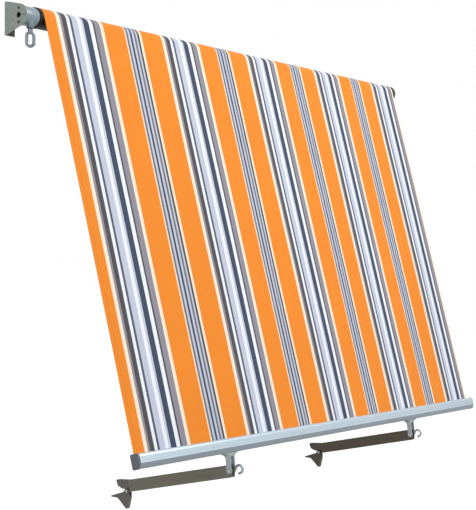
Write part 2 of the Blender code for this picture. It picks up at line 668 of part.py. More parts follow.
def crank_eye(parent):
    """The neck, the loop that a hooked crank catches, the collar above them and the cross pin."""
    collar_low = -(EYE_BOSS_DROP + CLEAR + COLLAR_HEIGHT)
    bore = WORM_SHAFT_RADIUS + CLEAR
    collar = [(bore, collar_low), (COLLAR_RADIUS, collar_low), (COLLAR_RADIUS, -EYE_BOSS_DROP - CLEAR),
              (bore, -EYE_BOSS_DROP - CLEAR)]
    piece("worm_collar", turned(collar, (0, 0, 0), (0, 0, 1), closed=True, steps=32), "grey_plastic", parent)
    neck_low = EYE_TOP - EYE_NECK_HEIGHT
    neck = [(0.0, neck_low), (EYE_NECK_RADIUS * 0.7, neck_low), (EYE_NECK_RADIUS, neck_low + EYE_BAR_RADIUS),
            (EYE_NECK_RADIUS, EYE_TOP), (0.0, EYE_TOP)]
    eye = piece("crank_eye", turned(neck, (0, 0, 0), (0, 0, 1), steps=28), "zinc", parent)
    across = Vector(EYE_ACROSS)
    half_width = EYE_WIDTH / 2 - EYE_BAR_RADIUS
    straight = EYE_HEIGHT / 2 - EYE_BAR_RADIUS - half_width
    middle = neck_low + EYE_BAR_RADIUS - EYE_HEIGHT / 2
    outline = arc((0.0, middle + straight), half_width, 0.0, math.pi, 8)
    outline += arc((0.0, middle - straight), half_width, math.pi, 2 * math.pi, 8)
    path = [across * u + Vector((0, 0, v)) for u, v in outline]
    normal = across.cross(Vector((0, 0, 1)))
    loop = helper("eye_loop", swept(path, normal, EYE_BAR_RADIUS, sides=10, closed=True), parent)
    combine(eye, "UNION", loop)
    bore_low = -(EYE_BOSS_DROP + COLLAR_HEIGHT + EYE_NECK_HEIGHT * 0.7) - CLEAR
    shaft_bore = helper("eye_bore", rod((0, 0, 0), (0, 0, 1), bore, bore_low, 0.0, steps=24), parent)
    pin_hole = rod((0, 0, EYE_PIN_HEIGHT), EYE_ACROSS, EYE_PIN_RADIUS + CLEAR, -2 * EYE_NECK_RADIUS,
                   2 * EYE_NECK_RADIUS, steps=16)
    combine(eye, "DIFFERENCE", shaft_bore, helper("eye_pin_hole", pin_hole, parent))
    piece("eye_pin", rod((0, 0, EYE_PIN_HEIGHT), EYE_ACROSS, EYE_PIN_RADIUS, -EYE_NECK_RADIUS,
                         EYE_NECK_RADIUS, steps=16), "steel", parent)


# Roller

def tube_loops():
    """Outer and inner outline (Y, Z) of the grooved tube; the groove is at the top."""
    half = GROOVE_WIDTH / 2
    inner = TUBE_RADIUS - TUBE_WALL
    outer_gap = math.asin(half / TUBE_RADIUS)
    inner_half = half + TUBE_WALL
    inner_gap = math.asin(inner_half / inner)
    top = math.pi / 2
    floor = TUBE_RADIUS - GROOVE_DEPTH
    outer = arc((0, 0), TUBE_RADIUS, top + outer_gap, top - outer_gap + 2 * math.pi, 56)
    outer += [(half, floor), (-half, floor)]
    hollow = arc((0, 0), inner, top + inner_gap, top - inner_gap + 2 * math.pi, 48)
    hollow += [(inner_half, floor - TUBE_WALL), (-inner_half, floor - TUBE_WALL)]
    return [outer, hollow]


def roller_plug(name, parent, start, direction, bore, look_name="black_plastic"):
    """A black end plug: a wide rim beside the tube, and a ribbed spigot with a hub inside it."""
    spigot = TUBE_RADIUS - TUBE_WALL - CLEAR
    rim = PLUG_FLANGE_WIDTH
    depth = rim + PLUG_DEPTH
    hub = SQUARE_SIDE
    profile = [(0.0, 0.0), (PLUG_FLANGE_RADIUS - PLUG_WALL / 2, 0.0), (PLUG_FLANGE_RADIUS, PLUG_WALL / 2),
               (PLUG_FLANGE_RADIUS, rim), (spigot, rim), (spigot, depth), (spigot - PLUG_WALL, depth),
               (spigot - PLUG_WALL, rim - PLUG_WALL), (hub, rim - PLUG_WALL), (hub, depth), (0.0, depth)]
    body = piece(name, turned(profile, (start, 0, 0), (direction, 0, 0), steps=36), look_name, parent)
    ribs = []
    for index in range(4):
        rib = box((0, -PLUG_WALL / 2, hub * 0.9), (depth - rim, PLUG_WALL / 2, spigot - PLUG_WALL / 2))
        turn = Matrix.Rotation(math.pi / 4 + index * math.pi / 2, 4, "X")
        place = Matrix.Translation((start + direction * rim, 0, 0)) @ turn
        if direction < 0:
            mirrored(rib, 0.0)
        bmesh.ops.transform(rib, matrix=place, verts=rib.verts[:])
        ribs.append(helper(f"{name}_rib_{index}", rib, parent))
    combine(body, "UNION", *ribs)
    notch_half = GROOVE_WIDTH / 2 + TUBE_WALL + CLEAR
    notch = box((rim, -notch_half, TUBE_RADIUS - GROOVE_DEPTH - TUBE_WALL - CLEAR),
                (2 * depth, notch_half, 2 * TUBE_RADIUS))
    if direction < 0:
        mirrored(notch, 0.0)
    bmesh.ops.transform(notch, matrix=Matrix.Translation((start, 0, 0)), verts=notch.verts[:])
    combine(body, "DIFFERENCE", helper(f"{name}_notch", notch, parent))
    return combine(body, "DIFFERENCE", helper(f"{name}_bore", bore, parent))


def wound_turns(parent):
    """The cloth that stays on the tube, from the groove at the top round to where the sheet leaves."""
    leave = math.pi - CLOTH_TILT
    bm = bmesh.new()
    sections = []
    low = TURNS_INNER
    for step in range(WRAP_STEPS + 1):
        angle = math.pi / 2 + (leave - math.pi / 2) * step / WRAP_STEPS
        section = []
        for x, radius in ((CLOTH_START, low), (CLOTH_END, low), (CLOTH_END, low + TURN_THICK),
                          (CLOTH_START, low + TURN_THICK)):
            section.append(bm.verts.new((x, radius * math.cos(angle), radius * math.sin(angle))))
        sections.append(section)
    for section, following in zip(sections, sections[1:]):
        for corner in range(4):
            ahead = (corner + 1) % 4
            bm.faces.new((section[corner], section[ahead], following[ahead], following[corner]))
    bm.faces.new(sections[0])
    bm.faces.new(sections[-1])
    return piece("cloth_turns", bm, "orange", parent)


def roller(parent):
    """Everything that turns with the tube."""
    piece("roller_tube", prism(tube_loops(), TUBE_START, TUBE_END, SIDE_VIEW), "galvanised", parent)
    half = SQUARE_SIDE / 2 + CLEAR
    square = [(-half, -half), (half, -half), (half, half), (-half, half)]
    socket = prism([square], PLUG_START - PLUG_WALL, PLUG_START + PLUG_DEPTH - PLUG_WALL + CLEAR, SIDE_VIEW)
    roller_plug("roller_plug_left", parent, PLUG_START, 1, socket)
    right_start = TUBE_END + CLEAR + PLUG_FLANGE_WIDTH
    pin_start = right_start - PLUG_DEPTH
    round_bore = rod((0, 0, 0), (1, 0, 0), IDLE_PIN_RADIUS + CLEAR, pin_start - CLEAR,
                     right_start + PLUG_WALL, steps=24)
    roller_plug("roller_plug_right", parent, right_start, -1, round_bore)
    piece("idle_pin", rod((0, 0, 0), (1, 0, 0), IDLE_PIN_RADIUS, pin_start, RIGHT_PLATE_OUTER,
                          steps=24, chamfer=IDLE_PIN_RADIUS / 6), "steel", parent)
    rod_height = TUBE_RADIUS - GROOVE_DEPTH + KEDER_RADIUS + CLEAR
    piece("roller_keder", rod((0, 0, rod_height), (1, 0, 0), KEDER_RADIUS, CLOTH_START, CLOTH_END,
                              steps=12), "white_plastic", parent)
    wound_turns(parent)
    worm_wheel(parent)
    drive_shaft(parent)


def idle_bush():
    """The plastic bush in the right bracket's hub hole, with a thrust flange on the roller's side."""
    bore = IDLE_PIN_RADIUS + CLEAR
    neck = HUB_HOLE_RADIUS - CLEAR
    flange_end = RIGHT_PLATE_INNER - CLEAR
    flange_start = TUBE_END + CLEAR + PLUG_FLANGE_WIDTH + CLEAR
    ring = [(bore, flange_start), (neck + PLATE_THICK, flange_start), (neck + PLATE_THICK, flange_end),
            (neck, flange_end), (neck, RIGHT_PLATE_OUTER), (bore, RIGHT_PLATE_OUTER)]
    piece("idle_bush", turned(ring, (0, AXIS.y, AXIS.z), (1, 0, 0), closed=True, steps=32), "black_plastic")


# Cloth

def stripes():
    """The colour and the end of each stripe across the cloth, from its left edge."""
    marks = [("orange", FIRST_STRIPE)]
    at = FIRST_STRIPE
    index = 0
    while at < CLOTH_WIDTH - 1e-6:
        name, width = STRIPE_REPEAT[index % len(STRIPE_REPEAT)]
        at = min(CLOTH_WIDTH, at + width)
        marks.append((name, at))
        index += 1
    return marks


def fabric_sheet():
    """The hanging cloth, from the roll down into the front bar's slot, with its woven stripes."""
    bottom = CLOTH_DROP + LIP
    names = sorted({name for name, width in STRIPE_REPEAT})
    bm = bmesh.new()
    half = CLOTH_THICK / 2
    sections = []
    marks = stripes()
    for at in [0.0] + [end for name, end in marks]:
        x = CLOTH_START + at
        sections.append([bm.verts.new((x, y, z)) for y, z in
                         ((-half, 0.0), (half, 0.0), (half, -bottom), (-half, -bottom))])
    for (name, end), section, following in zip(marks, sections, sections[1:]):
        for corner in range(4):
            ahead = (corner + 1) % 4
            face = bm.faces.new((section[corner], section[ahead], following[ahead], following[corner]))
            face.material_index = names.index(name)
    bm.faces.new(sections[0]).material_index = names.index(marks[0][0])
    bm.faces.new(sections[-1]).material_index = names.index(marks[-1][0])
    place = Matrix.Translation(SHEET_TOP) @ Matrix.Rotation(-CLOTH_TILT, 4, "X")
    sheet = piece("fabric_sheet", bm, None, None, place)
    for name in names:
        sheet.data.materials.append(look(name))
    return sheet


# Front bar, in its own frame: +Z up the slant, +Y inward, Y = 0 on the cloth

BAR_FRONT = BAR_REAR - BAR_DEPTH
BAR_MIDDLE = (BAR_FRONT + BAR_REAR) / 2
BAR_START = CLOTH_START - BAR_OVERHANG + CAP_THICK + CLEAR
BAR_END = CLOTH_END + BAR_OVERHANG - CAP_THICK - CLEAR
CHAMBER_DROP = math.sqrt(KEDER_CHAMBER_RADIUS ** 2 - (KEDER_SLOT / 2) ** 2)
CHAMBER_Z = -(LIP + CHAMBER_DROP)
CHAMFER_RISE = BAR_HEIGHT * 0.35
CHAMFER_RUN = BAR_DEPTH * 0.22
FRONT_ROUND = 0.011
REAR_ROUND = 0.005
FOOT_FLOOR = -BAR_HEIGHT + LIP + FOOT_CHAMBER_HEIGHT


def bar_corners(grow=0.0):
    """The bar's outer corners (Y, Z, radius), clockwise from the top of its rear face."""
    return [
        (BAR_REAR + grow, grow, REAR_ROUND), (BAR_REAR + grow, -BAR_HEIGHT - grow, REAR_ROUND),
        (BAR_FRONT + CHAMFER_RUN, -BAR_HEIGHT - grow, REAR_ROUND),
        (BAR_FRONT - grow, -BAR_HEIGHT + CHAMFER_RISE, REAR_ROUND), (BAR_FRONT - grow, grow, FRONT_ROUND),
    ]


def bar_outline():
    """The bar's section: outer skin with front grooves, the cloth slot above and the foot slot below."""
    rear_top, rear_low, front_low, front_knee, front_top = bar_corners()
    slot = KEDER_SLOT / 2
    spread = math.atan2(slot, CHAMBER_DROP)
    opening = (math.pi / 2 + spread, math.pi / 2 - spread + 2 * math.pi)
    keder = arc((0.0, CHAMBER_Z), KEDER_CHAMBER_RADIUS, *opening, 18)
    foot = []
    low = -BAR_HEIGHT
    for side in (1, -1):
        edge = BAR_MIDDLE + side * FOOT_SLOT / 2
        wide = BAR_MIDDLE + side * FOOT_CHAMBER / 2
        run = [(edge, low, 0.0), (edge, low + LIP, 0.0), (wide, low + LIP, 0.0), (wide, FOOT_FLOOR, 0.0)]
        foot += run if side > 0 else run[::-1]
    grooves = []
    for index in range(GROOVE_COUNT):
        middle = -BAR_HEIGHT + CHAMFER_RISE + GROOVE_SPACING * (index + 1)
        grooves += [(BAR_FRONT, middle - GROOVE_SIZE, 0.0), (BAR_FRONT + GROOVE_SIZE, middle, 0.0),
                    (BAR_FRONT, middle + GROOVE_SIZE, 0.0)]
    corners = [(slot, 0.0, 0.0), rear_top, rear_low] + foot + [front_low, front_knee] + grooves
    corners += [front_top, (-slot, 0.0, 0.0)]
    return rounded(corners) + keder


def bar_hollow(inset=0.0):
    """The bar's main chamber (Y, Z), or the same drawn in by an inset."""
    wall = BAR_WALL + inset
    keder_side = -KEDER_CHAMBER_RADIUS - wall
    keder_floor = CHAMBER_Z - KEDER_CHAMBER_RADIUS - wall
    floor = FOOT_FLOOR + wall
    knee = -BAR_HEIGHT + CHAMFER_RISE
    lean = CHAMFER_RUN / CHAMFER_RISE
    low_front = BAR_FRONT + lean * (knee - floor) + wall
    return rounded([
        (BAR_REAR - wall, keder_floor, BAR_WALL), (BAR_REAR - wall, floor, BAR_WALL),
        (low_front, floor, BAR_WALL), (BAR_FRONT + wall, knee, BAR_WALL),
        (BAR_FRONT + wall, -wall, FRONT_ROUND - BAR_WALL), (keder_side, -wall, 0.0),
        (keder_side, keder_floor, 0.0)])


def front_bar(parent):
    """The extruded bar, its two caps and the hem rod that holds the cloth in its slot."""
    piece("front_bar", prism([bar_outline(), bar_hollow()], BAR_START, BAR_END, SIDE_VIEW),
          "bar_aluminium", parent)
    piece("hem_rod", rod((0, 0, CHAMBER_Z), (1, 0, 0), HEM_ROD_RADIUS, CLOTH_START, CLOTH_END, steps=16),
          "white_plastic", parent)
    for name, inner, outward in (("bar_cap_left", BAR_START, -1), ("bar_cap_right", BAR_END, 1)):
        face = inner + outward * CLEAR
        rim = face + outward * CAP_THICK
        cap_line = rounded(bar_corners(CAP_RIM))
        plate = prism([cap_line], min(face, rim), max(face, rim), SIDE_VIEW)
        cap = piece(name, plate, "grey_plastic", parent)
        deep = face - outward * CAP_PEG_DEPTH
        peg = prism([bar_hollow(CLEAR)], min(deep, rim), max(deep, rim), SIDE_VIEW)
        combine(cap, "UNION", helper(f"{name}_peg", peg, parent))


# Connectors

PIN_Z = -(BAR_HEIGHT + PIN_DROP)
PIN_Y = BAR_MIDDLE + PIN_LEAN
CHEEK = (FORK_WIDTH - FORK_GAP) / 2


def connector(name, parent, middle):
    """A cast foot that locks in the bar's lower slot, with a fork for the arm and an open hook."""
    half_foot = FOOT_LENGTH / 2
    half_fork = FORK_WIDTH / 2
    half_gap = FORK_GAP / 2
    top = -BAR_HEIGHT - CLEAR
    toe = top - FOOT_HEIGHT
    end = PIN_Z - FORK_DEPTH / 2
    slot_top = PIN_Z + FORK_SLOT_RISE
    front = rounded([
        (-half_foot, top, 0.0), (-half_foot, toe, 0.001), (-half_fork, toe, FORK_FILLET),
        (-half_fork, end, 0.0), (-half_gap, end, 0.0), (-half_gap, slot_top, half_gap * 0.6),
        (half_gap, slot_top, half_gap * 0.6), (half_gap, end, 0.0), (half_fork, end, 0.0),
        (half_fork, toe, FORK_FILLET), (half_foot, toe, 0.001), (half_foot, top, 0.0)], 6)
    place = Matrix.Translation((middle, 0, 0))
    deep = FORK_DEPTH / 2
    fork = piece(name, prism([front], BAR_MIDDLE - deep, PIN_Y + deep, FRONT_VIEW), "zinc",
                 parent, place)
    side = rounded([
        (BAR_MIDDLE - deep, top + LIP, 0.0), (BAR_MIDDLE - deep, toe, 0.0), (PIN_Y - deep, end, deep * 0.95),
        (PIN_Y + deep, end, deep * 0.95), (BAR_MIDDLE + deep, toe, 0.0),
        (BAR_MIDDLE + deep, top + LIP, 0.0)], 8)
    combine(fork, "INTERSECT", helper(f"{name}_side", prism([side], -FOOT_LENGTH, FOOT_LENGTH, SIDE_VIEW),
                                      parent, place))
    neck_half = FOOT_SLOT / 2 - CLEAR
    head_half = FOOT_CHAMBER / 2 - CLEAR
    head_low = -BAR_HEIGHT + LIP + CLEAR
    neck_end = half_foot - LIP
    head_end = half_foot - LIP / 2
    neck = box((-neck_end, BAR_MIDDLE - neck_half, toe + LIP),
               (neck_end, BAR_MIDDLE + neck_half, head_low + LIP / 2))
    head = box((-head_end, BAR_MIDDLE - head_half, head_low),
               (head_end, BAR_MIDDLE + head_half, FOOT_FLOOR - CLEAR))
    bend_radius = HOOK_OUTER_RADIUS - HOOK_BAR_RADIUS
    hook_y = PIN_Y - (PIN_HEAD_RADIUS + 2 * CLEAR + HOOK_BAR_RADIUS) - bend_radius
    hook_x = half_gap + CHEEK / 2 + HOOK_BAR_RADIUS / 2
    outline = arc((0.0, 0.0), bend_radius, math.pi, math.pi - HOOK_SWEEP, 16)
    path = [Vector((hook_x, hook_y - u, PIN_Z + v)) for u, v in outline]
    hook = swept(path, (1, 0, 0), HOOK_BAR_RADIUS, sides=9)
    combine(fork, "UNION", helper(f"{name}_neck", neck, parent, place),
            helper(f"{name}_head", head, parent, place), helper(f"{name}_hook", hook, parent, place))
    hole = rod((0, PIN_Y, PIN_Z), (1, 0, 0), PIN_RADIUS + CLEAR, -FORK_WIDTH, FORK_WIDTH, steps=24)
    return combine(fork, "DIFFERENCE", helper(f"{name}_pin_hole", hole, parent, place))


def arm_pin(name, parent, middle):
    """The headed pin through the fork and the arm."""
    seat = FORK_WIDTH / 2 + CLEAR
    tall = seat + PIN_HEAD_HEIGHT
    dome = PIN_HEAD_RADIUS * 0.6
    shoulder = tall - PIN_HEAD_HEIGHT / 2
    upset = PIN_HEAD_RADIUS * 0.8
    profile = [(0.0, -tall), (dome, -tall), (PIN_HEAD_RADIUS, -shoulder), (PIN_HEAD_RADIUS, -seat),
               (PIN_RADIUS, -seat), (PIN_RADIUS, seat), (upset, seat), (upset, shoulder), (dome, tall),
               (0.0, tall)]
    place = Matrix.Translation((middle, 0, 0))
    return piece(name, turned(profile, (0, PIN_Y, PIN_Z), (1, 0, 0), steps=18), "steel", parent, place)


# Arms and clamps, in the arm's own frame: origin on the pin, +Y along the arm, +Z up

ARM_END = ARM_REACH + 0.006
JAW_BOLT = (ARM_REACH + CLAMP_BOLT_ALONG, -CLAMP_BOLT_DROP)


def arm_channel(name, parent):
    """The folded channel, open below, with its pin holes, rivet holes and rounded pin end."""
    half = ARM_WIDTH / 2
    tall = ARM_HEIGHT / 2
    inside = half - ARM_WALL
    section = rounded([
        (-half, -tall, 0.0), (-half, tall, ARM_WALL), (half, tall, ARM_WALL), (half, -tall, 0.0),
        (inside, -tall, 0.0), (inside, tall - ARM_WALL, 0.0), (-inside, tall - ARM_WALL, 0.0),
        (-inside, -tall, 0.0)], 3)
    channel = prism([section], -ARM_FRONT, ARM_END, FRONT_VIEW)
    arm = piece(name, channel, "arm_bronze", parent)
    side = rounded([(-ARM_FRONT, -tall, ARM_CORNER), (ARM_END, -tall, 0.0), (ARM_END, tall, 0.0),
                    (-ARM_FRONT, tall, ARM_CORNER)])
    combine(arm, "INTERSECT", helper(f"{name}_side", prism([side], -ARM_WIDTH, ARM_WIDTH, SIDE_VIEW), parent))
    holes = cross_holes([(0, 0)], PIN_RADIUS + CLEAR, 24)
    holes += cross_holes(rivet_places(), RIVET_RADIUS + CLEAR, 10)
    return combine(arm, "DIFFERENCE", *[helper(f"{name}_hole_{index}", bm, parent)
                                        for index, bm in enumerate(holes)])


def rivet_places():
    """Where the two rivets hold the clamp's tongue, along the arm and up."""
    return [(ARM_END - TONGUE_LENGTH * share, RIVET_RISE) for share in (0.3, 0.7)]


# Side views of the cast jaws, each corner as (along, up, rounding)
BEAK_OUTLINE = [
    (0.0, ARM_HEIGHT / 2, 0.001), (BEAK_REACH, ARM_HEIGHT / 2 + BEAK_RISE, 0.004),
    (BEAK_REACH - 0.004, 0.006, 0.003), (0.030, -0.007, 0.004), (0.015, -0.0075, 0.0), (0.0, -0.0035, 0.0)]
SWING_OUTLINE = [
    (-KNUCKLE_RADIUS, KNUCKLE_RADIUS * 0.75, KNUCKLE_RADIUS * 0.6),
    (KNUCKLE_RADIUS, KNUCKLE_RADIUS * 0.75, KNUCKLE_RADIUS * 0.6), (0.016, -0.001, 0.004),
    (FINGER_REACH, -0.0075, 0.0015), (FINGER_REACH, -0.0115, 0.0015), (0.045, -0.0190, 0.005),
    (0.013, -LEVER_DROP, 0.003), (-0.006, -0.0235, 0.004)]


def cross_holes(places, radius, steps):
    """Round holes right through an arm's width, at (along, up) places."""
    return [rod((0, along, height), (1, 0, 0), radius, -ARM_WIDTH, ARM_WIDTH, steps=steps)
            for along, height in places]


def upper_jaw(name, parent):
    """The fixed jaw: a tongue in the channel, a beak over the rail and a knuckle for the bolt."""
    head_half = JAW_WIDTH / 2
    tongue_half = ARM_WIDTH / 2 - ARM_WALL - TONGUE_FIT
    bolt_y, bolt_z = JAW_BOLT
    rear = ARM_END + CLEAR
    head = rounded([(rear + along, up, radius) for along, up, radius in BEAK_OUTLINE])
    jaw = piece(name, prism([head], -head_half, head_half, SIDE_VIEW), "clamp_casting", parent)
    top = ARM_HEIGHT / 2 - ARM_WALL - CLEAR
    tongue = box((-tongue_half, ARM_END - TONGUE_LENGTH, top - TONGUE_HEIGHT),
                 (tongue_half, rear + NOTCH_DEPTH * 0.8, top))
    lug = rounded([
        (rear, 0.0, 0.0), (bolt_y + KNUCKLE_RADIUS * 1.9, 0.0, 0.0),
        (bolt_y + KNUCKLE_RADIUS, bolt_z, KNUCKLE_RADIUS * 0.9),
        (bolt_y, bolt_z - KNUCKLE_RADIUS, KNUCKLE_RADIUS * 0.5), (rear, bolt_z - 0.003, 0.002)])
    knuckle = prism([lug], -KNUCKLE_HALF, KNUCKLE_HALF, SIDE_VIEW)
    low_notch = box((-ARM_WIDTH, rear, -ARM_HEIGHT), (ARM_WIDTH, rear + NOTCH_DEPTH, -NOTCH_DEPTH))
    combine(jaw, "UNION", helper(f"{name}_tongue", tongue, parent))
    combine(jaw, "DIFFERENCE", helper(f"{name}_notch", low_notch, parent))
    combine(jaw, "UNION", helper(f"{name}_knuckle", knuckle, parent))
    holes = cross_holes([JAW_BOLT], CLAMP_BOLT_RADIUS + CLEAR, 20)
    holes += cross_holes(rivet_places(), RIVET_RADIUS + CLEAR, 10)
    return combine(jaw, "DIFFERENCE", *[helper(f"{name}_hole_{index}", bm, parent)
                                        for index, bm in enumerate(holes)])


def lower_jaw(name, parent):
    """The swinging jaw: two ears on the bolt, a finger under the rail and a leaf shaped lever."""
    half = JAW_WIDTH / 2
    slot_half = KNUCKLE_HALF + CLEAR
    jaw = piece(name, prism([rounded(SWING_OUTLINE)], -half, half, SIDE_VIEW), "clamp_casting", parent)
    slot = rod((0, 0, 0), (1, 0, 0), CLAMP_SLOT_RADIUS, -slot_half, slot_half, steps=20)
    hole = cross_holes([(0, 0)], CLAMP_BOLT_RADIUS + CLEAR, 20)[0]
    return combine(jaw, "DIFFERENCE", helper(f"{name}_slot", slot, parent),
                   helper(f"{name}_hole", hole, parent))


def clamp_bolt(name, parent):
    """The hexagon head bolt that both jaws turn on."""
    bolt_y, bolt_z = JAW_BOLT
    seat = JAW_WIDTH / 2 + CLEAR
    tip = seat + WING_HEIGHT * 0.8
    back = -seat - CLAMP_BOLT_RADIUS / 3
    shank = rod((0, bolt_y, bolt_z), (1, 0, 0), CLAMP_BOLT_RADIUS, back, tip, steps=20)
    bolt = piece(name, shank, "steel", parent)
    head = prism([circle((bolt_y, bolt_z), CLAMP_BOLT_HEAD, 6)], -seat - CLAMP_BOLT_RADIUS, -seat, SIDE_VIEW)
    return combine(bolt, "UNION", helper(f"{name}_head", head, parent))


def wing_nut(name, parent):
    """A wing nut on the bolt: a round hub with two upswept wings."""
    seat = JAW_WIDTH / 2 + CLEAR
    bore = CLAMP_BOLT_RADIUS + CLEAR
    root = bore + WING_THICK / 2
    hub_top = seat + WING_HEIGHT * 0.45
    tip = seat + WING_HEIGHT
    hub = [(bore, seat), (CLAMP_BOLT_HEAD, seat), (CLAMP_BOLT_HEAD * 0.8, hub_top), (bore, hub_top)]
    nut = piece(name, turned(hub, (0, 0, 0), (1, 0, 0), closed=True, steps=16), "galvanised", parent)
    half = WING_THICK / 2
    for index, side in enumerate((-1, 1)):
        wing = rounded([
            (seat + WING_THICK / 3, side * root, 0.0), (seat + WING_THICK, side * WING_SPAN * 0.34, 0.001),
            (tip, side * WING_SPAN / 2, 0.002), (tip - WING_THICK, side * WING_SPAN * 0.30, 0.002),
            (hub_top - WING_THICK / 6, side * root, 0.0)])
        combine(nut, "UNION", helper(f"{name}_wing_{index}", prism([wing], -half, half, TOP_VIEW), parent))
    return nut


def rivet(name, parent, along, height):
    """A domed rivet through the channel and the tongue."""
    seat = ARM_WIDTH / 2 + CLEAR
    tall = seat + RIVET_HEAD_HEIGHT
    crown = RIVET_HEAD_RADIUS * 0.55
    profile = [(0.0, -tall), (crown, -tall), (RIVET_HEAD_RADIUS, -seat), (RIVET_RADIUS, -seat),
               (RIVET_RADIUS, seat), (RIVET_HEAD_RADIUS, seat), (crown, tall), (0.0, tall)]
    return piece(name, turned(profile, (0, along, height), (1, 0, 0), steps=10), "steel", parent)


def arm(side, bar_frame, middle):
    """One arm with its clamp, hinged on the connector's pin."""
    place = Matrix.Translation((middle, PIN_Y, PIN_Z)) @ Matrix.Rotation(CLOTH_TILT - ARM_SLOPE, 4, "X")
    frame = empty(f"arm_axis_{side}", place, bar_frame)
    arm_channel(f"arm_{side}", frame)
    upper_jaw(f"upper_jaw_{side}", frame)
    clamp_bolt(f"clamp_bolt_{side}", frame)
    for index, (along, height) in enumerate(rivet_places()):
        rivet(f"clamp_rivet_{side}_{index + 1}", frame, along, height)
    jaw_frame = empty(f"jaw_axis_{side}", Matrix.Translation((0, *JAW_BOLT)), frame)
    lower_jaw(f"lower_jaw_{side}", jaw_frame)
    wing_nut(f"wing_nut_{side}", jaw_frame)


def main():
    clear_scene()
    wall_bracket("wall_bracket_left", None)
    wall_bracket("wall_bracket_right", (PLATE_OUTER_X + RIGHT_PLATE_OUTER) / 2)
    gear_cover()
    gear_housing()
    gear_screws()
    idle_bush()
    fabric_sheet()
    roller(empty("roller_axis", Matrix.Translation(AXIS)))
    crank_frame = empty("crank_axis", Matrix.Translation(WORM_AXIS))
    worm(crank_frame)
    crank_eye(crank_frame)
    bar_frame = empty("bar_frame", Matrix.Translation(BAR_TOP) @ Matrix.Rotation(-CLOTH_TILT, 4, "X"))
    front_bar(bar_frame)
    for side, middle in zip(("left", "right"), CONNECTOR_XS):
        connector(f"connector_{side}", bar_frame, middle)
        arm_pin(f"arm_pin_{side}", bar_frame, middle)
        arm(side, bar_frame, middle)
    weld_slivers()


main()
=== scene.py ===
# %% [markdown]
# # A drop-arm awning
#
# This lesson dresses a drop-arm awning for its portrait. The engineering model is already made: wall
# brackets, a geared roller, a front bar and two arms with railing clamps. It is loaded first and stays
# where it is. We then give each metal and plastic part its finish, and model the cloth and the cast
# pieces whose soft curves the engineering model leaves plain.

# %% Load the model
import math

import bpy
from mathutils import Matrix, Vector


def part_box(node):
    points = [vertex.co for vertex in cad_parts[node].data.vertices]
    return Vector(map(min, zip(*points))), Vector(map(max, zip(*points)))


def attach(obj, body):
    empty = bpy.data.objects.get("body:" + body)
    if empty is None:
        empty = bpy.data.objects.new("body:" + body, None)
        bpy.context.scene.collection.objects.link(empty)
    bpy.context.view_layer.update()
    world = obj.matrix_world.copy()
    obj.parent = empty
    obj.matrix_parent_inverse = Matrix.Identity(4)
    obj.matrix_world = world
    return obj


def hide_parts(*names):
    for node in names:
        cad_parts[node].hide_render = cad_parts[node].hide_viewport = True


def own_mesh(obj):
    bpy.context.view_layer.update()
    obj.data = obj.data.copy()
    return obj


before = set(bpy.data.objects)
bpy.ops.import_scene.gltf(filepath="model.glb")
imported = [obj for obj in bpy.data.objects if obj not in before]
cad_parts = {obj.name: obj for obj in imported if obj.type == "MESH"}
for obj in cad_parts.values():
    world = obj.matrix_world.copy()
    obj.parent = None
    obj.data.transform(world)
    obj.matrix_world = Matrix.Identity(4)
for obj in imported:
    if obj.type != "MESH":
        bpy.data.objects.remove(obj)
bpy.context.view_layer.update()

# %% [markdown]
# The cloth hangs at a slant from the roller to the front bar, and most new pieces follow that slant.
# So the slant is written down once, as two directions: down along the cloth, and out of its face. The
# places of the roller's axis and of the front bar come from the same drawing.

# %% The drawing's main lines
CLOTH_TILT = math.radians(14.7)
DOWN = Vector((0.0, -math.sin(CLOTH_TILT), -math.cos(CLOTH_TILT)))
OUT = Vector((0.0, -math.cos(CLOTH_TILT), math.sin(CLOTH_TILT)))
ROLL_AXIS = Vector((0.0, -0.062, 0.0065))
SHEET_OFFSET = 0.0346
CLOTH_DROP = 1.430
SHEET_TOP = ROLL_AXIS + SHEET_OFFSET * OUT
BAR_TOP = SHEET_TOP + CLOTH_DROP * DOWN
BAR_FRAME = Matrix.Translation(BAR_TOP) @ Matrix.Rotation(-CLOTH_TILT, 4, "X")
print("the cloth leaves the roll at", [round(value, 4) for value in SHEET_TOP],
      "and meets the bar at", [round(value, 4) for value in BAR_TOP])

# %% [markdown]
# The portrait is taken from the front left with a long lens, a little below the roller. A long lens
# keeps far edges nearly as large as near ones, which is why the slanted bar and the roller stay almost
# parallel. Only the place, the heading and the lens matter; the horizon is level.

# %% Camera
PHOTO_SIZE = (476, 510)
FOCAL_PIXELS = 1470.0
SENSOR_WIDTH = 36.0
CAMERA_PLACE = Vector((-3.51834, -3.2135, -0.81111))
CAMERA_YAW = 0.58539
CAMERA_PITCH = 0.01184


def add_camera():
    """Puts the camera where the portrait was taken and makes it the scene's own."""
    data = bpy.data.cameras.new("portrait_lens")
    data.sensor_width = SENSOR_WIDTH
    data.lens = FOCAL_PIXELS * SENSOR_WIDTH / max(PHOTO_SIZE)
    camera = bpy.data.objects.new("portrait_camera", data)
    bpy.context.collection.objects.link(camera)
    heading = Vector((math.cos(CAMERA_PITCH) * math.cos(CAMERA_YAW),
                      math.cos(CAMERA_PITCH) * math.sin(CAMERA_YAW),
                      math.sin(CAMERA_PITCH)))
    camera.location = CAMERA_PLACE
    camera.rotation_euler = heading.to_track_quat("-Z", "Y").to_euler()
    bpy.context.scene.camera = camera
    return camera


camera = add_camera()
print("lens", round(camera.data.lens, 1), "mm")

# %% [markdown]
# The background is plain white. The white comes from the colour of the floor and of the sky as the
# camera sees them, not from stronger lamps, so the object itself is lit at an ordinary level. Polished
# metal should mirror the same white room, so glossy rays see it too. The floor still darkens where the
# object keeps light from it.

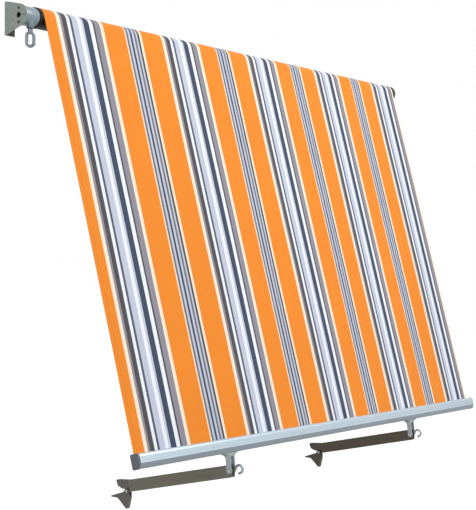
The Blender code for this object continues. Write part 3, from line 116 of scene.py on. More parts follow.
# %% White room and floor
PURE_WHITE = (1.0, 1.0, 1.0, 1.0)
FLOOR_HEIGHT = -2.45
FLOOR_SIZE = 60.0
FLOOR_MIDDLE = 1.2
FLOOR_ROUGHNESS = 0.8
ROOM_LIGHT = 0.42
FLOOR_LIFT = 0.78
FLOOR_COLOUR = (0.55, 0.55, 0.55, 1.0)


def rays_that_see_white(tree):
    """One value that is 1 for camera, glossy and transmission rays and 0 for the light on the object."""
    path = tree.nodes.new("ShaderNodeLightPath")
    first = tree.nodes.new("ShaderNodeMath")
    first.operation = "MAXIMUM"
    tree.links.new(path.outputs["Is Camera Ray"], first.inputs[0])
    tree.links.new(path.outputs["Is Glossy Ray"], first.inputs[1])
    both = tree.nodes.new("ShaderNodeMath")
    both.operation = "MAXIMUM"
    tree.links.new(first.outputs[0], both.inputs[0])
    tree.links.new(path.outputs["Is Transmission Ray"], both.inputs[1])
    return both.outputs[0]


def light_the_room():
    """A white sky to look at, and a softer even one that lights the object."""
    world = bpy.data.worlds.new("white_room")
    world.use_nodes = True
    bpy.context.scene.world = world
    tree = world.node_tree
    sky = tree.nodes["Background"]
    strength = tree.nodes.new("ShaderNodeMapRange")
    tree.links.new(rays_that_see_white(tree), strength.inputs["Value"])
    strength.inputs["To Min"].default_value = ROOM_LIGHT
    strength.inputs["To Max"].default_value = 1.0
    sky.inputs["Color"].default_value = PURE_WHITE
    tree.links.new(strength.outputs["Result"], sky.inputs["Strength"])


def lay_the_floor():
    """A wide pale floor, lifted to white where it is lit and left grey in the shadow."""
    bpy.ops.mesh.primitive_plane_add(size=FLOOR_SIZE, location=(FLOOR_MIDDLE, 0.0, FLOOR_HEIGHT))
    floor = bpy.context.object
    floor.name = "floor"
    paint = bpy.data.materials.new("floor_paint")
    paint.use_nodes = True
    tree = paint.node_tree
    shader = tree.nodes["Principled BSDF"]
    shader.inputs["Base Color"].default_value = FLOOR_COLOUR
    shader.inputs["Roughness"].default_value = FLOOR_ROUGHNESS
    shader.inputs["Emission Color"].default_value = PURE_WHITE
    lift = tree.nodes.new("ShaderNodeMath")
    lift.operation = "MULTIPLY"
    lift.inputs[1].default_value = FLOOR_LIFT
    tree.links.new(rays_that_see_white(tree), lift.inputs[0])
    tree.links.new(lift.outputs[0], shader.inputs["Emission Strength"])
    floor.data.materials.append(paint)


light_the_room()
lay_the_floor()

# %% [markdown]
# Two large soft lamps model the forms. The key lamp stands to the front right and above, so that the
# front of the bar is bright and its lower face falls into shade. The fill comes from the camera's side
# and keeps the arms and the bracket readable.

# %% Lamps
LAMPS = {
    "key_lamp": {"place": (2.4, -4.4, 3.2), "size": 3.2, "power": 270.0},
    "fill_lamp": {"place": (-4.2, -2.0, 0.6), "size": 3.0, "power": 60.0},
}
LAMP_TARGET = Vector((1.2, -0.2, -0.8))


def add_lamps():
    """Square area lamps that face the middle of the awning."""
    for name, lamp in LAMPS.items():
        data = bpy.data.lights.new(name, "AREA")
        data.shape = "SQUARE"
        data.size = lamp["size"]
        data.energy = lamp["power"]
        stand = bpy.data.objects.new(name, data)
        bpy.context.collection.objects.link(stand)
        stand.location = lamp["place"]
        stand.rotation_euler = (LAMP_TARGET - Vector(lamp["place"])).to_track_quat("-Z", "Y").to_euler()


bpy.context.scene.view_settings.view_transform = "Standard"
add_lamps()
print(len(LAMPS), "lamps")

# %% [markdown]
# # Finishes
#
# Colours are written as they would be picked from a screen, 0 to 255, and turned into the linear values
# that the shaders work with. The curve between the two is the usual one of screens: straight for the
# darkest tones and a power above them.

# %% Colours
SCREEN_STEPS = 255
STRAIGHT_UP_TO = 0.04045
STRAIGHT_SLOPE = 12.92
CURVE_SHIFT = 0.055
CURVE_POWER = 2.4


def screen_colour(red, green, blue):
    """A screen colour of 0 to 255 as a linear RGBA value."""
    linear = []
    for value in (red, green, blue):
        share = value / SCREEN_STEPS
        if share <= STRAIGHT_UP_TO:
            linear.append(share / STRAIGHT_SLOPE)
        else:
            linear.append(((share + CURVE_SHIFT) / (1 + CURVE_SHIFT)) ** CURVE_POWER)
    return (*linear, 1.0)


ORANGE = screen_colour(243, 138, 22)
CREAM = screen_colour(251, 235, 213)
WHITE = screen_colour(240, 245, 252)
MAUVE_GREY = screen_colour(143, 140, 152)
DARK_GREY = screen_colour(74, 70, 76)
NAVY = screen_colour(54, 66, 90)
SLATE = screen_colour(78, 84, 106)
LILAC = screen_colour(198, 203, 220)
SNOW = screen_colour(240, 244, 252)
GREY = screen_colour(114, 114, 122)
print("orange as the shader sees it", [round(value, 3) for value in ORANGE])

# %% [markdown]
# Almost every finish here starts the same way: a fine noise that follows the piece, a slightly darker
# and a slightly lighter shade of one colour, a roughness that wanders with the noise, and a shallow bump.
# Stretching the noise along one axis turns grain into brush marks or drawing lines. The noise reads
# Object coordinates, so it is measured in metres and has the same scale on every piece. Its values lie
# mostly between 0.3 and 0.7, and the roughness is spread over that span.

# %% A grained surface
GRAIN_DETAIL = 4.0
NOISE_LOW = 0.3
NOISE_HIGH = 0.7


def grained(name, light, dark, metallic, roughness, grain, bump=0.15, stretch=(1.0, 1.0, 1.0),
            wander=0.10, bump_depth=0.0002):
    """A solid material: two shades of one colour over a noise of the given grain size in metres."""
    material = bpy.data.materials.new(name)
    material.use_nodes = True
    nodes = material.node_tree.nodes
    links = material.node_tree.links
    shader = nodes["Principled BSDF"]
    shader.inputs["Metallic"].default_value = metallic
    place = nodes.new("ShaderNodeTexCoord")
    scale = nodes.new("ShaderNodeMapping")
    scale.inputs["Scale"].default_value = [1.0 / (grain * side) for side in stretch]
    links.new(place.outputs["Object"], scale.inputs["Vector"])
    noise = nodes.new("ShaderNodeTexNoise")
    noise.name = "grain"
    noise.inputs["Scale"].default_value = 1.0
    noise.inputs["Detail"].default_value = GRAIN_DETAIL
    links.new(scale.outputs["Vector"], noise.inputs["Vector"])
    shades = nodes.new("ShaderNodeMix")
    shades.name = "shades"
    shades.data_type = "RGBA"
    shades.inputs["A"].default_value = dark
    shades.inputs["B"].default_value = light
    links.new(noise.outputs["Fac"], shades.inputs["Factor"])
    links.new(shades.outputs["Result"], shader.inputs["Base Color"])
    gloss = nodes.new("ShaderNodeMapRange")
    gloss.inputs["From Min"].default_value = NOISE_LOW
    gloss.inputs["From Max"].default_value = NOISE_HIGH
    gloss.inputs["To Min"].default_value = roughness - wander
    gloss.inputs["To Max"].default_value = roughness + wander
    links.new(noise.outputs["Fac"], gloss.inputs["Value"])
    links.new(gloss.outputs["Result"], shader.inputs["Roughness"])
    relief = nodes.new("ShaderNodeBump")
    relief.inputs["Strength"].default_value = bump
    relief.inputs["Distance"].default_value = bump_depth
    links.new(noise.outputs["Fac"], relief.inputs["Height"])
    links.new(relief.outputs["Normal"], shader.inputs["Normal"])
    return material


def finish(material, *names):
    """Puts one material on the named CAD nodes."""
    for name in names:
        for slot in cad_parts[name].material_slots:
            slot.material = material
    print(material.name, "on", ", ".join(names))


# %% [markdown]
# The front bar is drawn aluminium with a clear anodised skin. Drawing leaves very fine lines along the
# bar, so the noise is stretched a hundred and fifty times along X. The roller tube is steel, given a
# near-black colour so that under the cloth's left edge it shows as a dark patch. A lower specular level
# keeps the white room from greying what is black.

# %% Drawn aluminium and black tube
ALONG_THE_BAR = (150.0, 1.0, 1.0)
DEEP_BLACK_SPECULAR = 0.15
drawn_aluminium = grained("drawn_aluminium", screen_colour(196, 212, 222), screen_colour(176, 193, 204),
                          metallic=0.35, roughness=0.38, grain=0.0012, bump=0.10,
                          stretch=ALONG_THE_BAR, wander=0.06, bump_depth=0.0001)
finish(drawn_aluminium, "front_bar")
# A rougher copy of the drawn aluminium for the band under the bar's front; its darker colour is painted
# shade.
painted_shade_aluminium = grained("painted_shade_aluminium", screen_colour(140, 151, 159), screen_colour(120, 132, 141),
                           metallic=0.35, roughness=0.50, grain=0.0012, bump=0.12,
                           stretch=ALONG_THE_BAR, wander=0.06, bump_depth=0.0001)
black_steel = grained("black_steel", screen_colour(20, 20, 22), screen_colour(10, 10, 12),
                      metallic=0.0, roughness=0.45, grain=0.0020, bump=0.12, wander=0.05)
black_gloss = black_steel.node_tree.nodes["Principled BSDF"].inputs["Specular IOR Level"]
black_gloss.default_value = DEEP_BLACK_SPECULAR
finish(black_steel, "roller_tube")

# %% [markdown]
# The wall brackets are pressed steel with a greenish grey zinc coat. Hot zinc freezes in flat crystals,
# the spangle, which show as patches of slightly different grey. A Voronoi texture gives such patches:
# each cell gets one random value, and that value moves the colour a little. Half of the shade comes
# from the crystals and half from the fine grain.

# %% Zinc spangle
CRYSTAL_SHARE = 0.5


def spangled(name, light, dark, roughness, crystal):
    """Zinc coated steel: the grained surface, with flat crystals of the given size in metres."""
    material = grained(name, light, dark, metallic=0.5, roughness=roughness, grain=0.004, bump=0.12)
    nodes = material.node_tree.nodes
    links = material.node_tree.links
    place = nodes.new("ShaderNodeTexCoord")
    cells = nodes.new("ShaderNodeTexVoronoi")
    cells.inputs["Scale"].default_value = 1.0 / crystal
    links.new(place.outputs["Object"], cells.inputs["Vector"])
    grey = nodes.new("ShaderNodeRGBToBW")
    links.new(cells.outputs["Color"], grey.inputs["Color"])
    blend = nodes.new("ShaderNodeMath")
    blend.operation = "MULTIPLY_ADD"
    blend.inputs[1].default_value = CRYSTAL_SHARE
    rest = nodes.new("ShaderNodeMath")
    rest.operation = "MULTIPLY"
    rest.inputs[1].default_value = 1 - CRYSTAL_SHARE
    links.new(nodes["grain"].outputs["Fac"], rest.inputs[0])
    links.new(grey.outputs["Val"], blend.inputs[0])
    links.new(rest.outputs["Value"], blend.inputs[2])
    links.new(blend.outputs["Value"], nodes["shades"].inputs["Factor"])
    return material


bracket_zinc = spangled("bracket_zinc", screen_colour(158, 168, 160), screen_colour(120, 132, 124),
                        roughness=0.45, crystal=0.006)
finish(bracket_zinc, "wall_bracket_left", "wall_bracket_right")

# %% [markdown]
# The connectors under the bar are die castings. Their zinc alloy is plain and a little cloudy, with the
# faint orange peel of the mould. The pins, bolts and wing nuts are turned and plated steel. The worm, its
# wheel and the screws are blackened: through the bracket's middle hole the gear shows as a dark spot.

# %% Cast and turned metal
cast_zinc = grained("cast_zinc", screen_colour(168, 176, 180), screen_colour(128, 138, 142),
                    metallic=0.6, roughness=0.40, grain=0.003, bump=0.25)
finish(cast_zinc, "connector_left", "connector_right")
plated_steel = grained("plated_steel", screen_colour(178, 186, 188), screen_colour(140, 148, 152),
                       metallic=0.8, roughness=0.33, grain=0.0015, bump=0.08)
finish(plated_steel, "arm_pin_left", "arm_pin_right", "idle_pin", "eye_pin", "clamp_bolt_left",
       "clamp_bolt_right", "wing_nut_left", "wing_nut_right")
gear_steel = grained("gear_steel", screen_colour(84, 88, 90), screen_colour(58, 61, 63),
                     metallic=0.7, roughness=0.40, grain=0.0010, bump=0.10)
finish(gear_steel, "worm_wheel", "worm", "drive_shaft", "gear_screw_upper", "gear_screw_lower")

# %% [markdown]
# The gear drum wears a satin, pale blue grey paint. The crank eye under it is chromated and a shade
# darker. Paint has no metallic part: its gloss comes from the clear film on top.

# %% Painted gear drum and crank eye
CLEAR_FILM = 0.25
drum_paint = grained("drum_paint", screen_colour(132, 149, 159), screen_colour(112, 130, 141),
                     metallic=0.0, roughness=0.38, grain=0.0020, bump=0.18, wander=0.05)
drum_paint.node_tree.nodes["Principled BSDF"].inputs["Coat Weight"].default_value = CLEAR_FILM
finish(drum_paint, "gear_housing", "gear_cover")
eye_plating = grained("eye_plating", screen_colour(136, 146, 154), screen_colour(96, 106, 114),
                      metallic=0.7, roughness=0.34, grain=0.0025, bump=0.15)
finish(eye_plating, "crank_eye")

# %% [markdown]
# The two arms are pressed from strip and have a bronze stove enamel, and the clamps at their ends are
# castings with a darker coat of the same family. The right arm and its clamp get darker, browner copies of
# these finishes, though both sides are the same product: that difference is painted shade.
# An arm is rubbed by the hand that folds it, so its gloss wanders more than the drum's, and its grain is
# coarser and drawn out along it.

# %% Bronze enamel
RUBBED = (1.0, 6.0, 1.0)
arm_enamel = grained("arm_enamel", screen_colour(124, 121, 107), screen_colour(95, 92, 80),
                     metallic=0.15, roughness=0.42, grain=0.012, bump=0.10, stretch=RUBBED)
finish(arm_enamel, "arm_left")
# The right arm's darker, browner copy of the enamel is painted shade.
painted_shade_enamel = grained("painted_shade_enamel", screen_colour(92, 82, 66), screen_colour(60, 52, 38),
                         metallic=0.15, roughness=0.40, grain=0.016, bump=0.10, stretch=RUBBED)
finish(painted_shade_enamel, "arm_right")
clamp_coat = grained("clamp_coat", screen_colour(112, 108, 104), screen_colour(78, 75, 72),
                     metallic=0.3, roughness=0.45, grain=0.0030, bump=0.30)
finish(clamp_coat, "upper_jaw_left", "lower_jaw_left", "clamp_rivet_left_1", "clamp_rivet_left_2")
# The right clamp's darker copy of the clamp coat is painted shade.
painted_shade_clamp_coat = grained("painted_shade_clamp_coat", screen_colour(92, 84, 70), screen_colour(58, 52, 42),
                       metallic=0.3, roughness=0.45, grain=0.0030, bump=0.30)
finish(painted_shade_clamp_coat, "upper_jaw_right", "lower_jaw_right", "clamp_rivet_right_1", "clamp_rivet_right_2")

# %% [markdown]
# Black nylon makes the roller's end plugs and the bush in the right bracket. The bar's end caps and the
# collar round the crank's shaft are grey plastic. The right cap is given a lighter grey and the left cap
# the darker grey of the collar; that difference between the caps is painted light and shade. Moulded
# plastic has a fine spark eroded texture, which is a small, even grain.

# %% Moulded plastic
black_nylon = grained("black_nylon", screen_colour(24, 24, 26), screen_colour(12, 12, 14),
                      metallic=0.0, roughness=0.48, grain=0.0008, bump=0.25, wander=0.06)
nylon_gloss = black_nylon.node_tree.nodes["Principled BSDF"].inputs["Specular IOR Level"]
nylon_gloss.default_value = DEEP_BLACK_SPECULAR
finish(black_nylon, "roller_plug_left", "roller_plug_right", "idle_bush")
# The right cap's lighter grey is painted light.
lit_cap_plastic = grained("lit_cap_plastic", screen_colour(168, 182, 192), screen_colour(150, 165, 176),
                      metallic=0.0, roughness=0.45, grain=0.0008, bump=0.25, wander=0.06)
finish(lit_cap_plastic, "bar_cap_right")
# On the left cap this darker grey is painted shade; on the collar it is the collar's own colour.
dark_plastic_and_cap_shade = grained("dark_plastic_and_cap_shade", screen_colour(104, 111, 120), screen_colour(84, 91, 101),
                       metallic=0.0, roughness=0.45, grain=0.0008, bump=0.25, wander=0.06)
finish(dark_plastic_and_cap_shade, "bar_cap_left", "worm_collar")
rod_plastic = grained("rod_plastic", screen_colour(228, 226, 218), screen_colour(206, 204, 196),
                      metallic=0.0, roughness=0.5, grain=0.0010, bump=0.15, wander=0.05)
finish(rod_plastic, "hem_rod", "roller_keder")

# %% [markdown]
# # The striped cloth
#
# Awning cloth is woven from dyed yarn, so each stripe is a band of warp threads that runs straight down
# the cloth and keeps its place along the roller. That makes the pattern easy: the colour depends on X
# alone. One repeat of the pattern is about 535 mm wide. The widths are listed once, in millimetres,
# summed into stops, and a colour ramp without blending between its stops draws the whole repeat. X is
# measured from the first full repeat, divided by the repeat's width, and only the fraction is kept. In
# the picture the stripes crowd towards the right a little more than the lens explains, so X is eased by
# a shallow sine first.

# %% Stripe pattern
MM_PER_METRE = 1000
CLOTH_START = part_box("fabric_sheet")[0][0]
CLOTH_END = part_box("fabric_sheet")[1][0]
FIRST_ORANGE = 0.052
EASE = 0.060
EASE_SPAN = 2.25
REPEAT = [
    (CREAM, 15.0), (MAUVE_GREY, 12.0), (DARK_GREY, 20.0), (WHITE, 15.5), (SLATE, 9.0), (LILAC, 27.0),
    (SNOW, 16.5), (LILAC, 11.0), (NAVY, 27.0), (WHITE, 18.5), (DARK_GREY, 9.5), (MAUVE_GREY, 27.0),
    (CREAM, 16.5), (ORANGE, 106.0), (CREAM, 8.0), (GREY, 8.5), (LILAC, 10.5), (NAVY, 12.0), (LILAC, 10.5),
    (GREY, 10.5), (LILAC, 8.5), (DARK_GREY, 10.0), (CREAM, 12.0), (ORANGE, 114.0)]
REPEAT_WIDTH = sum(width for colour, width in REPEAT) / MM_PER_METRE
print(len(REPEAT), "stripes in", round(REPEAT_WIDTH, 3), "m; the cloth runs from",
      round(CLOTH_START, 4), "to", round(CLOTH_END, 4))

# %% [markdown]
# Close up, canvas is a plain weave: warp and weft cross over and under each other. Two sine waves, one
# along the cloth and one across it, are multiplied to give the little pillows of that weave. They drive a
# very shallow bump, and they darken the colour a little in the hollows between the pillows, which is
# painted shade. A slow noise makes the dye slightly uneven, as sun and rain do. The hem down each side
# is sewn, so a row of short dark stitches follows it; they are drawn where X is near the stitch line.

# %% Canvas
THREAD = 0.0009
HEM = 0.018
STITCH_LENGTH = 0.0040
STITCH_HALF_WIDTH = 0.0005
STITCH_SHARE = 0.72
STITCH_COLOUR = screen_colour(150, 84, 30)
CANVAS_ROUGHNESS = 0.82
CANVAS_SPECULAR = 0.30
SHEEN = 0.12
SHEEN_ROUGHNESS = 0.5
WEATHER_SCALE = 5.0
WEATHER_DETAIL = 3.0
MOST_FADED = 0.955
WEAVE_SHADE = 0.05
WEAVE_STRENGTH = 0.20
WEAVE_DEPTH = 0.0002


def math_node(tree, operation, first, second=None, third=None):
    """One Math node; numbers are set on its sockets and outputs are linked to them."""
    made = tree.nodes.new("ShaderNodeMath")
    made.operation = operation
    for socket, value in zip(made.inputs, (first, second, third)):
        if value is None:
            continue
        if isinstance(value, (int, float)):
            socket.default_value = value
        else:
            tree.links.new(value, socket)
    return made.outputs[0]


def stripe_colour(tree, along):
    """The woven stripes as a function of X."""
    from_edge = math_node(tree, "SUBTRACT", along, CLOTH_START)
    swing = math_node(tree, "SINE", math_node(tree, "MULTIPLY", from_edge, math.pi / EASE_SPAN))
    eased = math_node(tree, "MULTIPLY_ADD", swing, -EASE, from_edge)
    shifted = math_node(tree, "SUBTRACT", eased, FIRST_ORANGE)
    turns = math_node(tree, "DIVIDE", shifted, REPEAT_WIDTH)
    share = math_node(tree, "FRACT", turns)
    ramp = tree.nodes.new("ShaderNodeValToRGB")
    ramp.color_ramp.interpolation = "CONSTANT"
    stops = ramp.color_ramp.elements
    stops.remove(stops[1])
    stops[0].position = 0.0
    stops[0].color = REPEAT[0][0]
    start = REPEAT[0][1]
    for colour, width in REPEAT[1:]:
        stop = stops.new(start / MM_PER_METRE / REPEAT_WIDTH)
        stop.color = colour
        start += width
    tree.links.new(share, ramp.inputs["Fac"])
    return ramp.outputs["Color"]


def weave_height(tree, along, down):
    """The pillows of a plain weave, 0 to 1."""
    turn = 2 * math.pi / THREAD
    weft = math_node(tree, "SINE", math_node(tree, "MULTIPLY", along, turn))
    warp = math_node(tree, "SINE", math_node(tree, "MULTIPLY", down, turn))
    crossing = math_node(tree, "MULTIPLY", weft, warp)
    return math_node(tree, "MULTIPLY_ADD", crossing, 0.5, 0.5)


def stitches(tree, along, down):
    """1 on the stitches of the two side hems, 0 elsewhere."""
    from_left = math_node(tree, "ABSOLUTE", math_node(tree, "SUBTRACT", along, CLOTH_START + HEM))
    from_right = math_node(tree, "ABSOLUTE", math_node(tree, "SUBTRACT", along, CLOTH_END - HEM))
    nearest = math_node(tree, "MINIMUM", from_left, from_right)
    on_line = math_node(tree, "LESS_THAN", nearest, STITCH_HALF_WIDTH)
    phase = math_node(tree, "FRACT", math_node(tree, "DIVIDE", down, STITCH_LENGTH))
    on_thread = math_node(tree, "LESS_THAN", phase, STITCH_SHARE)
    return math_node(tree, "MULTIPLY", on_line, on_thread)


def canvas_material():
    """Woven, striped awning canvas."""
    material = bpy.data.materials.new("striped_canvas")
    material.use_nodes = True
    tree = material.node_tree
    shader = tree.nodes["Principled BSDF"]
    shader.inputs["Roughness"].default_value = CANVAS_ROUGHNESS
    shader.inputs["Sheen Weight"].default_value = SHEEN
    shader.inputs["Sheen Roughness"].default_value = SHEEN_ROUGHNESS
    shader.inputs["Specular IOR Level"].default_value = CANVAS_SPECULAR
    place = tree.nodes.new("ShaderNodeTexCoord")
    axes = tree.nodes.new("ShaderNodeSeparateXYZ")
    tree.links.new(place.outputs["Object"], axes.inputs["Vector"])
    along = axes.outputs["X"]
    down = axes.outputs["Z"]
    stripes = stripe_colour(tree, along)
    weathering = tree.nodes.new("ShaderNodeTexNoise")
    weathering.inputs["Scale"].default_value = WEATHER_SCALE
    weathering.inputs["Detail"].default_value = WEATHER_DETAIL
    tree.links.new(place.outputs["Object"], weathering.inputs["Vector"])
    tint = tree.nodes.new("ShaderNodeMapRange")
    tint.inputs["From Min"].default_value = NOISE_LOW
    tint.inputs["From Max"].default_value = NOISE_HIGH
    tint.inputs["To Min"].default_value = MOST_FADED
    tint.inputs["To Max"].default_value = 1.0
    tree.links.new(weathering.outputs["Fac"], tint.inputs["Value"])
    weave = weave_height(tree, along, down)
    # The weave darkens the colour by up to WEAVE_SHADE in its hollows: painted shade.
    shade = math_node(tree, "MULTIPLY", tint.outputs["Result"],
                      math_node(tree, "MULTIPLY_ADD", weave, WEAVE_SHADE, 1 - WEAVE_SHADE))
    dyed = tree.nodes.new("ShaderNodeVectorMath")
    dyed.operation = "SCALE"
    tree.links.new(stripes, dyed.inputs[0])
    tree.links.new(shade, dyed.inputs["Scale"])
    sewn = tree.nodes.new("ShaderNodeMix")
    sewn.data_type = "RGBA"
    sewn.inputs["B"].default_value = STITCH_COLOUR
    tree.links.new(stitches(tree, along, down), sewn.inputs["Factor"])
    tree.links.new(dyed.outputs["Vector"], sewn.inputs["A"])
    tree.links.new(sewn.outputs["Result"], shader.inputs["Base Color"])
    relief = tree.nodes.new("ShaderNodeBump")
    relief.inputs["Strength"].default_value = WEAVE_STRENGTH
    relief.inputs["Distance"].default_value = WEAVE_DEPTH
    tree.links.new(weave, relief.inputs["Height"])
    tree.links.new(relief.outputs["Normal"], shader.inputs["Normal"])
    return material


striped_canvas = canvas_material()
finish(striped_canvas, "cloth_turns")

# %% [markdown]
# The engineering model's cloth is a flat slab. The real one is a thin sheet under light tension: it is
# almost flat, with faint waves where the roller, the bar and the two hems pull unevenly. We add a grid at
# the cloth's place and slant, give it a fine mesh, and move its points out of the plane by a sum of slow
# waves that die out at the roller and at the bar. The two hems curl out a little more. Solidify then
# gives the canvas its thickness. A cloth simulation would settle on the same near flat shape and cost
# minutes on every run.

# %% Hanging cloth
TUCK = 0.002
CANVAS_THICK = 0.0007
WAVE_HEIGHT = 0.0010
HEM_CURL = 1.2
CURL_REACH = 0.02
CLOTH_COLUMNS = 150
CLOTH_ROWS = 90
SMOOTH_ANGLE = math.radians(40)
# Each wave has a height, its turns across and down the cloth, and a shift in turns
WAVES = ((1.0, 3.2, 0.35, 0.0), (0.6, 7.1, -0.8, 0.2))


def choose_nothing():
    """Deselects every object, because operators act on all that is selected."""
    if bpy.context.mode != "OBJECT":
        bpy.ops.object.mode_set(mode="OBJECT")
    bpy.ops.object.select_all(action="DESELECT")


def choose(piece):
    """Selects one object alone and makes it the active one."""
    choose_nothing()
    piece.select_set(True)
    bpy.context.view_layer.objects.active = piece


def settle_place(piece):
    """Moves the object's place and turn into its mesh, so that the object sits at the origin."""
    choose(piece)
    bpy.ops.object.transform_apply(location=True, rotation=True, scale=True)


def thicken(piece, thickness):
    """Gives a sheet its thickness, the same on both sides of its middle."""
    wall = piece.modifiers.new("thickness", "SOLIDIFY")
    wall.thickness = thickness
    wall.offset = 0.0
    bpy.context.view_layer.objects.active = piece
    bpy.ops.object.modifier_apply(modifier=wall.name)


def cloth_wave(across, down):
    """How far the cloth stands out of its plane, for shares 0 to 1 across and down it."""
    calm = math.sin(math.pi * min(1.0, max(0.0, down)))
    slow = 0.0
    for height, turns_across, turns_down, shift in WAVES:
        slow += height * math.sin(2 * math.pi * (turns_across * across + turns_down * down + shift))
    edge = math.exp(-across / CURL_REACH) + math.exp(-(1 - across) / CURL_REACH)
    return WAVE_HEIGHT * calm * (slow + HEM_CURL * edge)


def hang_cloth():
    """The sheet between the roll and the bar's slot."""
    width = CLOTH_END - CLOTH_START
    length = CLOTH_DROP + TUCK
    middle = SHEET_TOP + DOWN * (length / 2) + Vector(((CLOTH_START + CLOTH_END) / 2, 0.0, 0.0))
    choose_nothing()
    bpy.ops.mesh.primitive_grid_add(x_subdivisions=CLOTH_COLUMNS, y_subdivisions=CLOTH_ROWS, size=1.0,
                                    location=middle, rotation=(math.pi / 2 - CLOTH_TILT, 0.0, 0.0))
    cloth = bpy.context.object
    cloth.name = "awning_cloth"
    cloth.scale = (width, length, 1.0)
    settle_place(cloth)
    for vertex in cloth.data.vertices:
        across = (vertex.co.x - CLOTH_START) / width
        down = (vertex.co - SHEET_TOP).dot(DOWN) / length
        vertex.co += OUT * cloth_wave(across, down)
    thicken(cloth, CANVAS_THICK)
    bpy.ops.object.shade_smooth_by_angle(angle=SMOOTH_ANGLE)
    cloth.data.materials.append(striped_canvas)
    return cloth


awning_cloth = hang_cloth()
print("cloth of", len(awning_cloth.data.polygons), "faces")

# %% [markdown]
# Above the line where it leaves the tube, the same cloth lies on the tube, up to the groove that holds
# it. A short lead carries the sheet's surface on without a step. It is a strip bent round the roller's
# axis that comes a little closer to the axis as it goes back.

# %% Cloth over the roll
LEAD_TURN = math.pi / 2 - CLOTH_TILT
LEAD_SINK = 0.00030
LEAD_STEPS = 24
LEAD_COLUMNS = 40


def lay_lead():
    """The last bit of cloth before the sheet leaves the roll, bent over the roll's top."""
    width = CLOTH_END - CLOTH_START
    middle = ROLL_AXIS + Vector(((CLOTH_START + CLOTH_END) / 2, 0.0, 0.0))
    choose_nothing()
    bpy.ops.mesh.primitive_grid_add(x_subdivisions=LEAD_COLUMNS, y_subdivisions=LEAD_STEPS, size=1.0,
                                    location=middle)
    lead = bpy.context.object
    lead.name = "cloth_lead"
    lead.scale = (width, 1.0, 1.0)
    settle_place(lead)
    up = -DOWN
    for vertex in lead.data.vertices:
        share = vertex.co.y - middle.y + 0.5
        turn = LEAD_TURN * share
        radius = SHEET_OFFSET - LEAD_SINK * share
        spoke = OUT * math.cos(turn) + up * math.sin(turn)
        vertex.co = Vector((vertex.co.x, 0.0, 0.0)) + ROLL_AXIS + spoke * radius
    thicken(lead, CANVAS_THICK)
    bpy.ops.object.shade_smooth_by_angle(angle=SMOOTH_ANGLE)
    lead.data.materials.append(striped_canvas)
    return lead


cloth_lead = lay_lead()
print("lead turns", round(math.degrees(LEAD_TURN)), "degrees over the roll")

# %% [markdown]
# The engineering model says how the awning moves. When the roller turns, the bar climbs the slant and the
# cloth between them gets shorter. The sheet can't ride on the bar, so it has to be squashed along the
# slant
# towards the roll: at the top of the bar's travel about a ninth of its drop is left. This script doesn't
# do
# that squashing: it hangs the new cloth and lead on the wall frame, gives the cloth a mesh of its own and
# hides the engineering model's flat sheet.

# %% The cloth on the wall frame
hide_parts("fabric_sheet")
for piece in (awning_cloth, cloth_lead):
    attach(piece, "wall_frame")
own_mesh(awning_cloth)

# %% [markdown]
# # Rounded edges
#
# No real edge is perfectly sharp. A die casting leaves its mould with small radii, folded steel has a bent
# edge, and enamel and plastic gather at the corners. Each radius catches a thin line of light, and that
# line is what tells the eye how thick a plate is. The engineering model leaves such radii out. So for the
# rigid pieces that show, we take a copy of the engineering node, merge its loose triangles, dissolve the
# flat ones into whole faces, and bevel what is still sharp. The copy then stands for the node.

# %% A rounded copy of an engineering node
MERGE_DISTANCE = 0.00001
FLAT_ANGLE = math.radians(1.0)
SHARP_ANGLE = math.radians(32)
EDGE_SEGMENTS = 2


def rounded_copy(node, name, radius, body):
    """Copies a CAD node, rounds its sharp edges by the given radius in metres and lets it ride."""
    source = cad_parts[node]
    piece = bpy.data.objects.new(name, source.data.copy())
    bpy.context.collection.objects.link(piece)
    piece.matrix_world = source.matrix_world.copy()
    choose(piece)
    bpy.ops.object.mode_set(mode="EDIT")
    bpy.ops.mesh.select_all(action="SELECT")
    bpy.ops.mesh.remove_doubles(threshold=MERGE_DISTANCE)
    bpy.ops.mesh.dissolve_limited(angle_limit=FLAT_ANGLE)
    bpy.ops.object.mode_set(mode="OBJECT")
    settle_place(piece)
    edges = piece.modifiers.new("edges", "BEVEL")
    edges.width = radius
    edges.segments = EDGE_SEGMENTS
    edges.limit_method = "ANGLE"
    edges.angle_limit = SHARP_ANGLE
    edges.use_clamp_overlap = True
    edges.harden_normals = False
    bpy.ops.object.modifier_apply(modifier=edges.name)
    bpy.ops.object.shade_smooth_by_angle(angle=SHARP_ANGLE)
    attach(piece, body)
    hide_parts(node)
    return piece


# %% [markdown]
# The radii differ with the way each piece is made: about 1 mm on the castings, half a millimetre on bent
# sheet and on the extruded bar, and up to 1.4 mm on moulded plastic. They are listed together, so that
# they can be compared and changed in one place.

